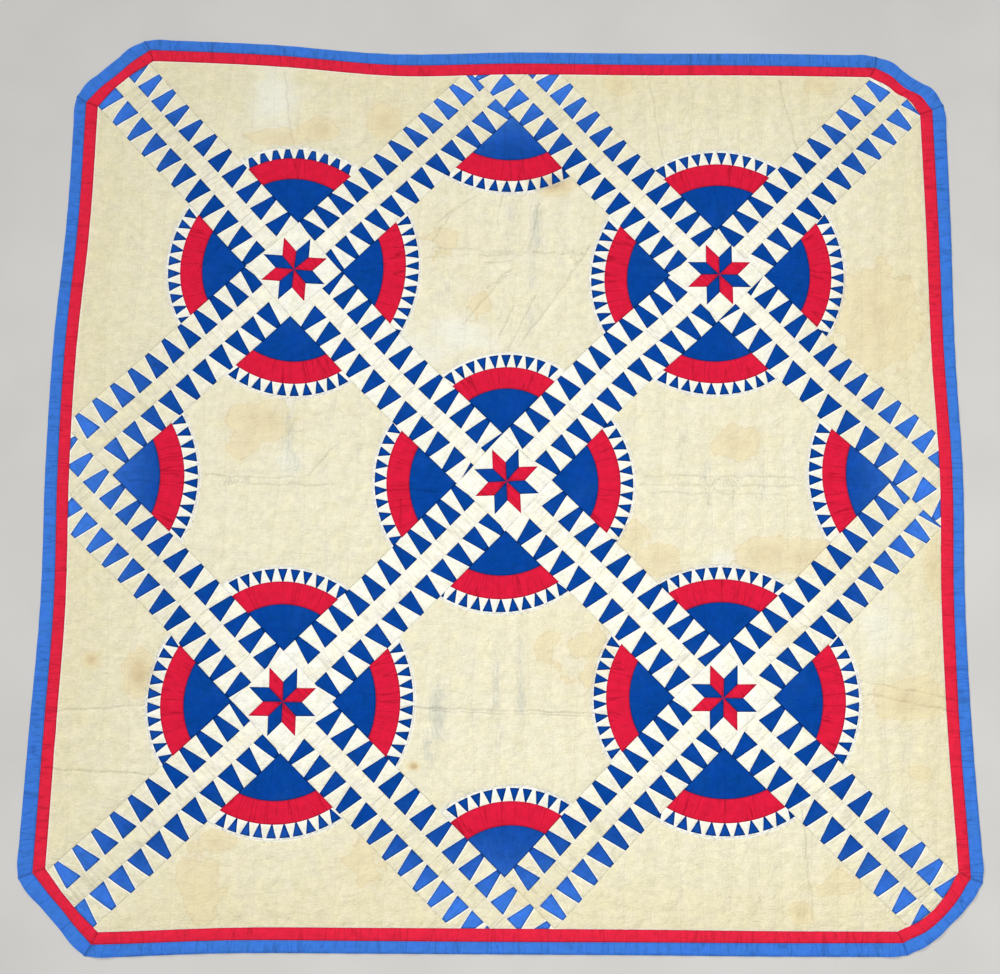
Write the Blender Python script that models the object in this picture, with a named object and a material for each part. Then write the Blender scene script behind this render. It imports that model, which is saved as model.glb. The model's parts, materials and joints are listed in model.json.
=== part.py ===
"""New York Beauty quilt, spread flat with its face up.

The quilt is built as its maker set it together. Five star squares and sixteen
sashes lie on the slant, with four whole blocks and eight edge blocks between
them, and a red and a blue border of eight strips each run round the outside.
Every piece is one closed, quilted solid. It is flat underneath, where it lies
on the bed, and on top it is sewn down along its seams and rows of quilting and
puffed up between them.

Units are metres. X runs to the right, Y to the top edge of the quilt and Z up.
The sashes have their own slant axes, U to the upper right and V to the upper
left, with the middle star at zero.
"""
import math
from collections import namedtuple

import bmesh
import bpy
from mathutils import Vector
from mathutils.geometry import delaunay_2d_cdt

# Driving dimensions of the pattern
STAR_TO_MIDLINE = 0.486
PITCH = STAR_TO_MIDLINE * math.sqrt(2)
SASH_WIDTH = 0.153
STRIP_WIDTH = 0.039
FAN_SET_BACK = 0.057
FAN_BLUE_RADIUS = 0.184
FAN_RED_RADIUS = 0.235
FAN_RIM_RADIUS = 0.266
STAR_RADIUS = 0.079
GAP = 0.0003

# Heights above the bed
SEWN_HEIGHT = 0.0030
LOFT = 0.0024
LOFT_REACH = 0.020
HEM_HEIGHT = 0.0018
FOLD_DEPTH = 0.0010
FOLD_REACH = 0.010
FOLD_SIDE = 0.016
LUMP = 0.0003
LUMP_LENGTH = 0.29
LUMP_WIDTH = 0.36

# Spacing of the quilting rows and of the points that shape them
GROUND_ROW = 0.057
GROUND_LEAN = 0.035
GROUND_SWAY = 0.006
SWAY_LENGTH = 0.48
SASH_ROW = 0.045
BORDER_ROW = 0.064
RADIAL_ROWS = 6
POINT_STEP = 0.066
SEARCH_STEP = 0.011
CLEARANCE = 0.011

# The eight sides of the outline, clockwise from the upper left. Bows are how far the edge stands
# out from a straight side, at even steps along it. Widths are at its start, middle and end.
Side = namedtuple("Side", "name x y bows blue red")
SIDES = (
    Side("top", -0.848, 1.031, (-0.006, -0.023, -0.012, -0.008, -0.002), (0.026, 0.028, 0.032),
         (0.027, 0.027, 0.024)),
    Side("upper_right_corner", 0.877, 1.026, (0.008, 0.005, 0.012), (0.028, 0.031, 0.031),
         (0.028, 0.024, 0.027)),
    Side("right", 1.038, 0.905, (-0.001, -0.006, -0.002, -0.012, -0.010), (0.032, 0.025, 0.030),
         (0.030, 0.029, 0.027)),
    Side("lower_right_corner", 1.038, -0.887, (0.010, 0.013, 0.012), (0.028, 0.023, 0.029),
         (0.028, 0.025, 0.026)),
    Side("bottom", 0.863, -1.037, (-0.001, -0.004, -0.006, -0.008, -0.009), (0.029, 0.026, 0.027),
         (0.024, 0.027, 0.025)),
    Side("lower_left_corner", -0.887, -1.009, (0.000, -0.002, 0.000), (0.029, 0.028, 0.033),
         (0.026, 0.022, 0.025)),
    Side("left", -1.034, -0.848, (-0.003, -0.007, 0.004, 0.007, -0.002), (0.033, 0.027, 0.026),
         (0.026, 0.025, 0.027)),
    Side("upper_left_corner", -0.998, 0.891, (0.005, 0.004, 0.005), (0.029, 0.029, 0.029),
         (0.026, 0.022, 0.026)),
)
CORNER_ROUNDING = 0.003
CORNER_REACH = 0.022

# How far each sash line wanders off its true line, at these places along it in pitches
PLACES = (-1.95, -1.53, -1.12, -0.88, -0.50, -0.12, 0.12, 0.50, 0.88, 1.12, 1.53, 1.95)
Wander = namedtuple("Wander", "run line offsets")
WANDERS = (
    Wander("left", -1, (-0.002, -0.002, -0.002, -0.002, -0.003, -0.003,
                        0.000, 0.006, 0.001, 0.001, 0.001, 0.001)),
    Wander("left", 0, (-0.001, -0.004, -0.008, -0.007, -0.005, -0.009,
                       -0.013, -0.019, -0.010, 0.001, 0.013, 0.024)),
    Wander("left", 1, (0.012, 0.012, 0.010, 0.005, -0.010, -0.008,
                       -0.010, -0.007, 0.003, 0.006, 0.006, 0.006)),
    Wander("right", -1, (0.010, 0.010, 0.010, 0.010, 0.015, 0.013,
                         0.008, -0.003, -0.005, -0.005, -0.005, -0.005)),
    Wander("right", 0, (0.024, 0.012, 0.003, 0.002, -0.002, 0.000,
                        0.009, 0.013, -0.001, -0.002, 0.001, -0.001)),
    Wander("right", 1, (0.016, 0.016, 0.016, 0.016, 0.009, 0.004,
                        -0.004, -0.008, -0.009, -0.009, -0.009, -0.009)),
)

# Storage folds across the quilt: how high up it they lie, and how much they slope
Fold = namedtuple("Fold", "height slope")
FOLDS = (Fold(0.520, 0.000), Fold(0.002, -0.012), Fold(-0.530, 0.012))

# The pieces inside the borders. Sashes run to the upper left (V) or the upper right (U) on one of
# three lines, from one place to another in pitches, and butt against a seam where an end is trimmed.
Sash = namedtuple("Sash", "name run line start end trim_start trim_end")
SASHES = (
    Sash("sash_lower_right_to_corner", "left", 0, -2.2, -1, False, True),
    Sash("sash_middle_to_lower_right", "left", 0, -1, 0, True, True),
    Sash("sash_middle_to_upper_left", "left", 0, 0, 1, True, True),
    Sash("sash_upper_left_to_corner", "left", 0, 1, 2.2, True, False),
    Sash("sash_lower_left_to_corner", "right", 0, -2.2, -1, False, True),
    Sash("sash_middle_to_lower_left", "right", 0, -1, 0, True, True),
    Sash("sash_middle_to_upper_right", "right", 0, 0, 1, True, True),
    Sash("sash_upper_right_to_corner", "right", 0, 1, 2.2, True, False),
    Sash("sash_upper_right_to_right", "left", 1, -1.3, 0, False, True),
    Sash("sash_upper_right_to_top", "left", 1, 0, 1.3, True, False),
    Sash("sash_lower_left_to_bottom", "left", -1, -1.3, 0, False, True),
    Sash("sash_lower_left_to_left", "left", -1, 0, 1.3, True, False),
    Sash("sash_upper_left_to_left", "right", 1, -1, 0, True, True),
    Sash("sash_upper_left_to_top", "right", 1, 0, 1, True, True),
    Sash("sash_lower_right_to_bottom", "right", -1, -1, 0, True, True),
    Sash("sash_lower_right_to_right", "right", -1, 0, 1, True, True),
)
Star = namedtuple("Star", "name u v")
STARS = (
    Star("star_middle", 0, 0),
    Star("star_upper_left", 0, 1),
    Star("star_upper_right", 1, 0),
    Star("star_lower_left", -1, 0),
    Star("star_lower_right", 0, -1),
)
Block = namedtuple("Block", "name u v")
BLOCKS = (
    Block("block_top", 0, 0),
    Block("block_left", -1, 0),
    Block("block_bottom", -1, -1),
    Block("block_right", 0, -1),
    Block("edge_block_top_right", 1, 0),
    Block("edge_block_top_left", 0, 1),
    Block("edge_block_left_upper", -1, 1),
    Block("edge_block_left_lower", -2, 0),
    Block("edge_block_bottom_left", -2, -1),
    Block("edge_block_bottom_right", -1, -2),
    Block("edge_block_right_lower", 0, -2),
    Block("edge_block_right_upper", 1, -1),
)

# Cloth colours, linear red, green and blue, and the roughness of washed cotton
MUSLIN = (0.73, 0.65, 0.45)
CREAM = (0.83, 0.79, 0.64)
BLUE = (0.06, 0.22, 0.83)
RED = (0.60, 0.010, 0.032)
COTTON_ROUGHNESS = 0.9

HALF_SASH = SASH_WIDTH / 2
HALF_GAP = GAP / 2
MERGE = 0.00001
OUTSIDE = 2.3
NODES = 3


def blend(values, share):
    """Read a row of evenly spaced values at a share of its length, as one smooth curve."""
    last = len(values) - 1
    place = min(max(share, 0.0), 1.0) * last
    index = min(int(place), last - 1)
    part = place - index
    before = values[max(index - 1, 0)]
    start, end = values[index], values[index + 1]
    after = values[min(index + 2, last)]
    slope_start, slope_end = (end - before) / 2, (after - start) / 2
    return (start * (1 + 2 * part) * (1 - part) ** 2 + slope_start * part * (1 - part) ** 2
            + end * part ** 2 * (3 - 2 * part) - slope_end * part ** 2 * (1 - part))


def side_inset(index, share, line):
    """Depth of a border line inside the outline, at a share of a side's length."""
    side = SIDES[index]
    after = SIDES[(index + 1) % len(SIDES)]
    length = math.hypot(after.x - side.x, after.y - side.y)
    to_corner = min(share, 1 - share) * length
    depth = CORNER_ROUNDING * math.exp(-(to_corner / CORNER_REACH) ** 2)
    if line in ("blue_seam", "red_seam"):
        depth = blend(side.blue, share)
    if line == "red_seam":
        depth += blend(side.red, share)
    return depth


def side_normal(index):
    """Direction that points straight out of a side."""
    side, after = SIDES[index % len(SIDES)], SIDES[(index + 1) % len(SIDES)]
    return Vector((side.y - after.y, after.x - side.x)).normalized()


def ring_corner(index, line, extra):
    """Corner of a border line: where the lines inside two neighbouring sides cross."""
    index %= len(SIDES)
    first, second = side_normal(index - 1), side_normal(index)
    corner = Vector((SIDES[index].x, SIDES[index].y))
    reach_first = first.dot(corner) - side_inset(index - 1, 1, line) - extra
    reach_second = second.dot(corner) - side_inset(index, 0, line) - extra
    cross = first.x * second.y - first.y * second.x
    return Vector(((reach_first * second.y - reach_second * first.y) / cross,
                   (first.x * reach_second - second.x * reach_first) / cross))


def ring_point(index, share, line, extra=0.0):
    """Point on a border line, at a share of a side, moved in by a little extra."""
    start, end = ring_corner(index, line, extra), ring_corner(index + 1, line, extra)
    bow = blend((0.0, *SIDES[index].bows, 0.0), share)
    straight = (1 - share) * side_inset(index, 0, line) + share * side_inset(index, 1, line)
    depth = side_inset(index, share, line) - straight
    return start.lerp(end, share) + side_normal(index) * (bow - depth)


def row_count(index):
    """Number of rows of quilting across the border along a side."""
    side, after = SIDES[index], SIDES[(index + 1) % len(SIDES)]
    return round(math.hypot(after.x - side.x, after.y - side.y) / BORDER_ROW)


def ring(line, extra=0.0):
    """All of a border line, anticlockwise."""
    points = []
    for index in range(len(SIDES)):
        count = row_count(index)
        points += [ring_point(index, step / count, line, extra) for step in range(count)]
    return points[::-1]


def wander(run, line, along):
    """How far a sash line lies off its true line, at a place along it in pitches."""
    offsets = next(row.offsets for row in WANDERS if row.run == run and row.line == line)
    along = min(max(along, PLACES[0]), PLACES[-1])
    index = max(place for place in range(len(PLACES) - 1) if PLACES[place] <= along)
    part = (along - PLACES[index]) / (PLACES[index + 1] - PLACES[index])
    part = part * part * (3 - 2 * part)
    return offsets[index] * (1 - part) + offsets[index + 1] * part


def drift(run, across, along):
    """Sideways shift of the cloth at a place on the slant grid, from the sash lines beside it."""
    across = min(max(across, -1.0), 1.0)
    line = min(math.floor(across), 0)
    part = across - line
    return wander(run, line, along) * (1 - part) + wander(run, line + 1, along) * part


def to_quilt(u, v):
    """Place of a point of the slant grid on the quilt as it lies."""
    shifted_u = u + drift("left", u / PITCH, v / PITCH)
    shifted_v = v + drift("right", v / PITCH, u / PITCH)
    return Vector((shifted_u - shifted_v, shifted_u + shifted_v)) * math.sqrt(0.5)


def to_grid(point):
    """Place on the slant grid of a point of the quilt as it lies."""
    plain_u = (point.x + point.y) * math.sqrt(0.5)
    plain_v = (point.y - point.x) * math.sqrt(0.5)
    u, v = plain_u, plain_v
    for _ in range(4):
        u, v = (plain_u - drift("left", u / PITCH, v / PITCH),
                plain_v - drift("right", v / PITCH, u / PITCH))
    return u, v


def stepped(start, end, step):
    """Even places from start to end, both of them kept."""
    count = max(round(abs(end - start) / step), 1)
    return [start + (end - start) * index / count for index in range(count + 1)]


def stops(start, end):
    """Places along a sash line from start to end, shared by the pieces on both sides of its seams."""
    marks = []
    for node in range(-NODES, NODES):
        edge, far_edge = node * PITCH - HALF_SASH, (node + 1) * PITCH - HALF_SASH
        marks += stepped(edge + HALF_GAP, edge + SASH_WIDTH - HALF_GAP, SASH_ROW)
        marks += stepped(edge + SASH_WIDTH + HALF_GAP, far_edge - HALF_GAP, SASH_ROW)
    return [start] + [mark for mark in marks if start + GAP < mark < end - GAP] + [end]


def rectangle(u_range, v_range):
    """Outline of a rectangle on the slant grid, anticlockwise, as the quilt lies."""
    u_steps, v_steps = stops(*u_range), stops(*v_range)
    corners = [(u, v_range[0]) for u in u_steps[:-1]]
    corners += [(u_range[1], v) for v in v_steps[:-1]]
    corners += [(u, v_range[1]) for u in reversed(u_steps[1:])]
    corners += [(u_range[0], v) for v in reversed(v_steps[1:])]
    return [to_quilt(u, v) for u, v in corners]


def inside(point, outline):
    """True where a point lies inside a closed outline."""
    found = False
    for start, end in zip(outline, outline[1:] + outline[:1]):
        if (start.y > point.y) != (end.y > point.y):
            reach = (point.y - start.y) / (end.y - start.y)
            if point.x < start.x + reach * (end.x - start.x):
                found = not found
    return found


def nearest(point, segments):
    """Distance from a point to the nearest of some straight stretches."""
    best = 1.0
    for start, end in segments:
        run = end - start
        share = (point - start).dot(run) / max(run.length_squared, 1e-12)
        best = min(best, (point - start - run * min(max(share, 0.0), 1.0)).length)
    return best


def stretches(points):
    """The straight stretches of an open line of points."""
    return list(zip(points, points[1:]))


def top_height(point, sewn, hem):
    """Height of the quilt's face: low along what is sewn, puffed between, creased at the folds."""
    if hem and nearest(point, hem) < GAP:
        return HEM_HEIGHT
    height = SEWN_HEIGHT + LOFT * (1 - math.exp(-(nearest(point, sewn) / LOFT_REACH) ** 2))
    height += LUMP * math.sin(math.tau * point.x / LUMP_LENGTH) * math.cos(math.tau * point.y / LUMP_WIDTH)
    for fold in FOLDS:
        from_fold = point.y - fold.height - fold.slope * point.x
        height -= FOLD_DEPTH * math.exp(-(from_fold / FOLD_REACH) ** 2)
    return height


def runs_where(places, test):
    """First and last place of each stretch of finely stepped places that passes a test."""
    runs, run = [], []
    for place in places:
        if test(place):
            run.append(place)
        elif run:
            runs.append((run[0], run[-1]))
            run = []
    if run:
        runs.append((run[0], run[-1]))
    return [(first, last) for first, last in runs if last > first]


def row_places(low, high, x):
    """Places up a row of quilting that get a point: even ones, and some across each storage fold."""
    folds = [fold.height + fold.slope * x + aside for fold in FOLDS
             for aside in (-FOLD_SIDE, 0, FOLD_SIDE)]
    folds = [place for place in folds if low + CLEARANCE < place < high - CLEARANCE]
    even = [place for place in stepped(low, high, POINT_STEP)[1:-1]
            if all(abs(place - other) > FOLD_SIDE for other in folds)]
    return sorted([low, high, *folds, *even])


def cloth_material(name, color):
    """Matt cotton of one colour."""
    material = bpy.data.materials.new(name)
    material.use_nodes = True
    shader = material.node_tree.nodes["Principled BSDF"]
    shader.inputs["Base Color"].default_value = (*color, 1)
    shader.inputs["Roughness"].default_value = COTTON_ROUGHNESS
    shader.inputs["Metallic"].default_value = 0
    return material


def quilted_solid(name, color, outlines, seams=(), puffs=(), hem=()):
    """Closed solid under one outline, or where two overlap: a shaped face, sides and a flat back.

    Seams are lines of points sewn down to the back. Puffs are single points between them.
    """
    points, faces, edges = [], [], []
    for outline in outlines:
        faces.append(list(range(len(points), len(points) + len(outline))))
        points += outline
    for seam in seams:
        edges += [(len(points) + step, len(points) + step + 1) for step in range(len(seam) - 1)]
        points += seam
    points += puffs
    placed, _, triangles, _, _, sources = delaunay_2d_cdt(points, edges, faces, 0, MERGE)
    kept = [corners for corners, source in zip(triangles, sources) if len(source) == len(faces)]

    form = bmesh.new()
    verts = {index: form.verts.new((*placed[index], 0)) for corners in kept for index in corners}
    for corners in kept:
        form.faces.new([verts[index] for index in corners])
    rim = [edge for edge in form.edges if edge.is_boundary]
    sewn = [tuple(vert.co.xy for vert in edge.verts) for edge in rim]
    for seam in seams:
        sewn += stretches(seam)
    sides = bmesh.ops.extrude_edge_only(form, edges=rim)["geom"]
    back = [edge for edge in sides if isinstance(edge, bmesh.types.BMEdge) and edge.is_boundary]
    for vert in verts.values():
        vert.co.z = top_height(vert.co.xy, sewn, hem)
    bmesh.ops.edgeloop_fill(form, edges=back)
    bmesh.ops.recalc_face_normals(form, faces=form.faces)

    mesh = bpy.data.meshes.new(name)
    form.to_mesh(mesh)
    form.free()
    mesh.shade_smooth()
    mesh.set_sharp_from_angle(angle=math.radians(40))
    mesh.materials.append(cloth_material(name, color))
    piece = bpy.data.objects.new(name, mesh)
    bpy.context.collection.objects.link(piece)
    return piece


def build_sash(sash):
    """One sash: a plain strip between two bands, quilted across."""
    start = sash.start * PITCH + (HALF_SASH if sash.trim_start else 0) + HALF_GAP
    end = sash.end * PITCH - (HALF_SASH if sash.trim_end else 0) - HALF_GAP
    middle = sash.line * PITCH
    side = HALF_SASH - HALF_GAP
    half_strip = STRIP_WIDTH / 2
    band_middle = (HALF_SASH + half_strip) / 2
    rows = stops(start, end)

    def place(offset, along):
        if sash.run == "left":
            return to_quilt(middle + offset, along)
        return to_quilt(along, middle + offset)

    cut = (middle - side, middle + side), (start, end)
    outline = rectangle(*(cut if sash.run == "left" else cut[::-1]))
    room = ring("red_seam", CLEARANCE)
    seams, puffs = [], []
    for offset in (-half_strip, half_strip):
        line = [place(offset, row) for row in rows[1:-1]]
        seams.append([point for point in line if inside(point, room)])
    for row in rows[1:-1]:
        line = [place(offset, row) for offset in (-band_middle, -half_strip, half_strip, band_middle)]
        if all(inside(point, room) for point in line):
            seams.append(line)
    for before, after in zip(rows, rows[1:]):
        line = [place(offset, (before + after) / 2) for offset in (-band_middle, 0, band_middle)]
        puffs += [point for point in line if inside(point, room)]
    return quilted_solid(sash.name, CREAM, [outline, ring("red_seam", HALF_GAP)], seams, puffs)


def build_star(star):
    """One star square, sewn down along the edges of its eight diamonds."""
    u, v = star.u * PITCH, star.v * PITCH
    side = HALF_SASH - HALF_GAP
    outline = rectangle((u - side, u + side), (v - side, v + side))
    middle = to_quilt(u, v)
    half_point = math.pi / 8
    notch_radius = STAR_RADIUS / (2 * math.cos(half_point))
    edge = []
    for step in range(16):
        radius = STAR_RADIUS if step % 2 else notch_radius
        turn = half_point * step
        edge.append(middle + radius * Vector((math.cos(turn), math.sin(turn))))
    seams = [edge + edge[:1]] + [[middle, notch] for notch in edge[::2]]
    puffs = [middle.lerp(tip, 0.6) for tip in edge[1::2]]
    return quilted_solid(star.name, CREAM, [outline], seams, puffs)


def fans_of(block):
    """Fans of a block: the centre of each one's arcs, and the two directions that lead into the block.

    The arcs are a little flatter than quarter circles, so their centre lies behind the block's corner.
    """
    whole = block.u in (-1, 0) and block.v in (-1, 0)
    fans = []
    for step_u, into_u in ((0, 1), (1, -1)):
        for step_v, into_v in ((0, 1), (1, -1)):
            node_u, node_v = block.u + step_u, block.v + step_v
            if whole or abs(node_u) + abs(node_v) <= 1:
                set_in = HALF_SASH - FAN_SET_BACK
                centre = (node_u * PITCH + into_u * set_in, node_v * PITCH + into_v * set_in)
                fans.append((centre, into_u, into_v))
    return fans


def fan_lines(centre, into_u, into_v):
    """Seams and puffs of one fan: its three arcs, with short rows of quilting across its ring."""
    def place(radius, turn):
        return to_quilt(centre[0] + into_u * radius * math.cos(turn),
                        centre[1] + into_v * radius * math.sin(turn))

    def first_turn(radius):
        return math.asin((FAN_SET_BACK + CLEARANCE / 2) / radius)

    start = first_turn(FAN_BLUE_RADIUS)
    turns = stepped(start, math.pi / 2 - start, (math.pi / 2 - 2 * start) / RADIAL_ROWS)
    between = [(before + after) / 2 for before, after in zip(turns, turns[1:])]
    seams, puffs = [], []
    for radius in (FAN_BLUE_RADIUS, FAN_RED_RADIUS, FAN_RIM_RADIUS):
        start = first_turn(radius)
        ends = [start, *turns[1:-1], math.pi / 2 - start]
        seams.append([place(radius, turn) for turn in ends])
    for turn in turns[1:-1]:
        seams.append([place(FAN_BLUE_RADIUS, turn), place(FAN_RED_RADIUS, turn)])
    puffs += [place((FAN_BLUE_RADIUS + FAN_RED_RADIUS) / 2, turn) for turn in between]
    puffs += [place((FAN_RED_RADIUS + FAN_RIM_RADIUS) / 2, turn) for turn in between]
    puffs += [place(FAN_BLUE_RADIUS * 0.78, turn) for turn in between[1:-1]]
    return seams, puffs


def build_block(block):
    """One block: plain ground quilted up and down, with pieced fans in its corners."""
    side = HALF_SASH + HALF_GAP
    u_range = [block.u * PITCH + side, (block.u + 1) * PITCH - side]
    v_range = [block.v * PITCH + side, (block.v + 1) * PITCH - side]
    for limits, place in ((u_range, block.u), (v_range, block.v)):
        if place == 1:
            limits[1] = OUTSIDE * PITCH
        if place == -2:
            limits[0] = -OUTSIDE * PITCH
    outlines = [rectangle(u_range, v_range), ring("red_seam", HALF_GAP)]
    rim = [stretch for outline in outlines for stretch in stretches(outline + outline[:1])]
    fans = fans_of(block)
    seams, puffs = [], []
    for fan in fans:
        fan_seams, fan_puffs = fan_lines(*fan)
        seams += fan_seams
        puffs += fan_puffs

    def on_ground(point):
        u, v = to_grid(point)
        off_fans = all(math.hypot(u - centre[0], v - centre[1]) > FAN_RIM_RADIUS + CLEARANCE
                       for centre, _, _ in fans)
        return (off_fans and all(inside(point, outline) for outline in outlines)
                and nearest(point, rim) > CLEARANCE)

    across, up = [point.x for point in outlines[0]], [point.y for point in outlines[0]]
    half_row = GROUND_ROW / 2
    for row in range(math.floor(min(across) / half_row) - 1, math.ceil(max(across) / half_row) + 2):
        def on_row(y):
            sway = GROUND_SWAY * math.sin(math.tau * y / SWAY_LENGTH + row)
            return Vector((row * half_row + GROUND_LEAN * y + sway, y))

        places = stepped(min(up), max(up), SEARCH_STEP)
        for low, high in runs_where(places, lambda y: on_ground(on_row(y))):
            line = [on_row(y) for y in row_places(low, high, row * half_row)]
            if row % 2:
                puffs += line
            else:
                seams.append(line)
    return quilted_solid(block.name, MUSLIN, outlines, seams, puffs)


def build_border(index, color_name, color, outer_line, inner_line):
    """One border strip with mitred ends, quilted across."""
    side = SIDES[index]
    count = row_count(index)
    length = (ring_corner(index + 1, outer_line, 0) - ring_corner(index, outer_line, 0)).length
    end = GAP * 0.8 / length
    shares = [min(max(step / count, end), 1 - end) for step in range(count + 1)]
    inward = HALF_GAP if outer_line != "edge" else 0.0
    outer = [ring_point(index, share, outer_line, inward) for share in shares]
    inner = [ring_point(index, share, inner_line, -HALF_GAP) for share in shares]
    sewn, puffs = [], []
    for before, after in zip(shares, shares[1:]):
        share = (before + after) / 2
        middle = ring_point(index, share, outer_line, inward).lerp(
            ring_point(index, share, inner_line, -HALF_GAP), 0.5)
        puffs.append(middle)
        if before > end:
            sewn.append([ring_point(index, before, outer_line, inward).lerp(
                ring_point(index, before, inner_line, -HALF_GAP), place) for place in (0.35, 0.65)])
    hem = stretches(outer) if outer_line == "edge" else ()
    name = f"{color_name}_border_{side.name}"
    return quilted_solid(name, color, [outer[::-1] + inner], sewn, puffs, hem)


def clear_scene():
    """Start from an empty scene."""
    for item in list(bpy.data.objects):
        bpy.data.objects.remove(item, do_unlink=True)


def build_quilt():
    """All pieces, set so that the middle of the quilt's outline lies over the origin."""
    pieces = [build_star(star) for star in STARS]
    pieces += [build_sash(sash) for sash in SASHES]
    pieces += [build_block(block) for block in BLOCKS]
    for index in range(len(SIDES)):
        pieces.append(build_border(index, "red", RED, "blue_seam", "red_seam"))
        pieces.append(build_border(index, "blue", BLUE, "edge", "blue_seam"))
    corners = [vert.co for piece in pieces for vert in piece.data.vertices]
    middle = Vector((min(co.x for co in corners) + max(co.x for co in corners),
                     min(co.y for co in corners) + max(co.y for co in corners), 0)) / 2
    for piece in pieces:
        piece.location = -middle


clear_scene()
build_quilt()
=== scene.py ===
# %% [markdown]
# # A New York Beauty quilt, spread out flat
#
# The real quilt is pieced from many cotton patches, laid over a thin filling and a backing cloth, and
# quilted by hand through all three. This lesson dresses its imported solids. Every star square, sash,
# block and border strip is pieced flat, as its maker pieced it, then cut into a fine mesh, bent to the
# wandering lines of the real quilt, and raised between its rows of quilting.
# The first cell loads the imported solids, which set the size and the place of everything below.

import json
import math
from collections import namedtuple

import bmesh
import bpy
import numpy as np
from mathutils import Matrix, Vector

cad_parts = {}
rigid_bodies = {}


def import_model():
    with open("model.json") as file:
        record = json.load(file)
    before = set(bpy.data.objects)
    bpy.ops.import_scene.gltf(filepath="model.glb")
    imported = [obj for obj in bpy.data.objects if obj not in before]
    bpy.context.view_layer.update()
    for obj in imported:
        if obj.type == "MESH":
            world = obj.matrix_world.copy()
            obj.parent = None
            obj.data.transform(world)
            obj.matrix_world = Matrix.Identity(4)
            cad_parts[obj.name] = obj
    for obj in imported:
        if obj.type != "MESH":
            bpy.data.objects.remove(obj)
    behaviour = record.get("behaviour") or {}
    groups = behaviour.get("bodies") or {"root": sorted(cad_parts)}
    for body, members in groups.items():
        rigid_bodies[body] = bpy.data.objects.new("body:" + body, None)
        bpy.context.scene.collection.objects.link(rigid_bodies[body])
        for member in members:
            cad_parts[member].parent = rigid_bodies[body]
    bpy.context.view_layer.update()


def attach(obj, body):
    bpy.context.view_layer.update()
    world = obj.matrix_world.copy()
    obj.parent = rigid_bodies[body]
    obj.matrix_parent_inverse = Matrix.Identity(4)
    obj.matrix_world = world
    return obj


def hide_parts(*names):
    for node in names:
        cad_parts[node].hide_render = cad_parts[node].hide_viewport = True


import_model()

# %% [markdown]
# ## Sizes
#
# The sashes lie on the slant, so the quilt has its own axes: U runs to the upper right and V to the
# upper left, with the middle star at zero. These are the sizes of the solids, in metres, so that each
# dressed piece lies exactly on the solid that it replaces.

# %% Sizes of the pattern and heights above the bed
STAR_TO_MIDLINE = 0.486
PITCH = STAR_TO_MIDLINE * math.sqrt(2)
SASH_WIDTH = 0.153
STRIP_WIDTH = 0.039
STAR_RADIUS = 0.079
HALF_SASH = SASH_WIDTH / 2
HALF_STRIP = STRIP_WIDTH / 2
HALF_GAP = 0.00010
CROSSING = Vector((-0.00285, 0.00285))

SEWN_HEIGHT = 0.0030
LOFT = 0.0024
LOFT_REACH = 0.020
HEM_HEIGHT = 0.0018
BACK_HEIGHT = 0.0005
FOLD_DEPTH = 0.0010
FOLD_REACH = 0.010
LUMP_HEIGHT = 0.0003
LUMP_LENGTH = 0.29
LUMP_WIDTH = 0.36
SEAM_DEPTH = 0.0006
SEAM_REACH = 0.0035
LOOSE_REACH = 0.010
CRUMPLES = ((0.00022, 0.046, 3), (0.00012, 0.024, 8))
CRUMPLE_WAVES = 9
LEAST_THICKNESS = 0.0004

GROUND_ROW = 0.057
GROUND_LEAN = 0.035
GROUND_SWAY = 0.006
SWAY_LENGTH = 0.48
SASH_ROW = 0.045
BORDER_ROW = 0.064
MESH_STEP = 0.0062
CUT_CLOSE = 0.00002
FAR = 1.0
NEAR = 0.03
FADED_RIM = 0.6
GRAIN_SHIFT = 2.0

# %% [markdown]
# ## The wandering sashes
#
# No sash of the real quilt runs true. How many millimetres each one strays sideways is noted at a few
# places along it, and the cloth between two sashes takes a share from each. With this the whole quilt
# can be pieced straight and square, and bent afterwards. The sums run on whole rows of points at once
# with numpy, which is much quicker in Python than one point at a time.

# %% Bend the slant grid as the quilt lies
PLACES = np.array((-1.95, -1.53, -1.12, -0.88, -0.50, -0.12, 0.12, 0.50, 0.88, 1.12, 1.53, 1.95))
WANDERS = {
    ("left", -1): (-2, -2, -2, -2, -3, -3, 0, 6, 1, 1, 1, 1),
    ("left", 0): (-1, -4, -8, -7, -5, -9, -13, -19, -10, 1, 13, 24),
    ("left", 1): (12, 12, 10, 5, -10, -8, -10, -7, 3, 6, 6, 6),
    ("right", -1): (10, 10, 10, 10, 15, 13, 8, -3, -5, -5, -5, -5),
    ("right", 0): (24, 12, 3, 2, -2, 0, 9, 13, -1, -2, 1, -1),
    ("right", 1): (16, 16, 16, 16, 9, 4, -4, -8, -9, -9, -9, -9),
}


def wander(run, line, along):
    """How far a sash line lies off its true line, at places along it in pitches."""
    offsets = np.array(WANDERS[run, line]) / 1000
    along = np.clip(along, PLACES[0], PLACES[-1])
    index = np.clip(np.searchsorted(PLACES, along, side="right") - 1, 0, len(PLACES) - 2)
    part = (along - PLACES[index]) / (PLACES[index + 1] - PLACES[index])
    part = part * part * (3 - 2 * part)
    return offsets[index] * (1 - part) + offsets[index + 1] * part


def drift(run, across, along):
    """Sideways shift of the cloth at places on the slant grid, from the sash lines beside it."""
    across = np.clip(across, -1, 1)
    line = np.minimum(np.floor(across), 0)
    part = across - line
    before = np.where(line < 0, wander(run, -1, along), wander(run, 0, along))
    after = np.where(line < 0, wander(run, 0, along), wander(run, 1, along))
    return before * (1 - part) + after * part


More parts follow.
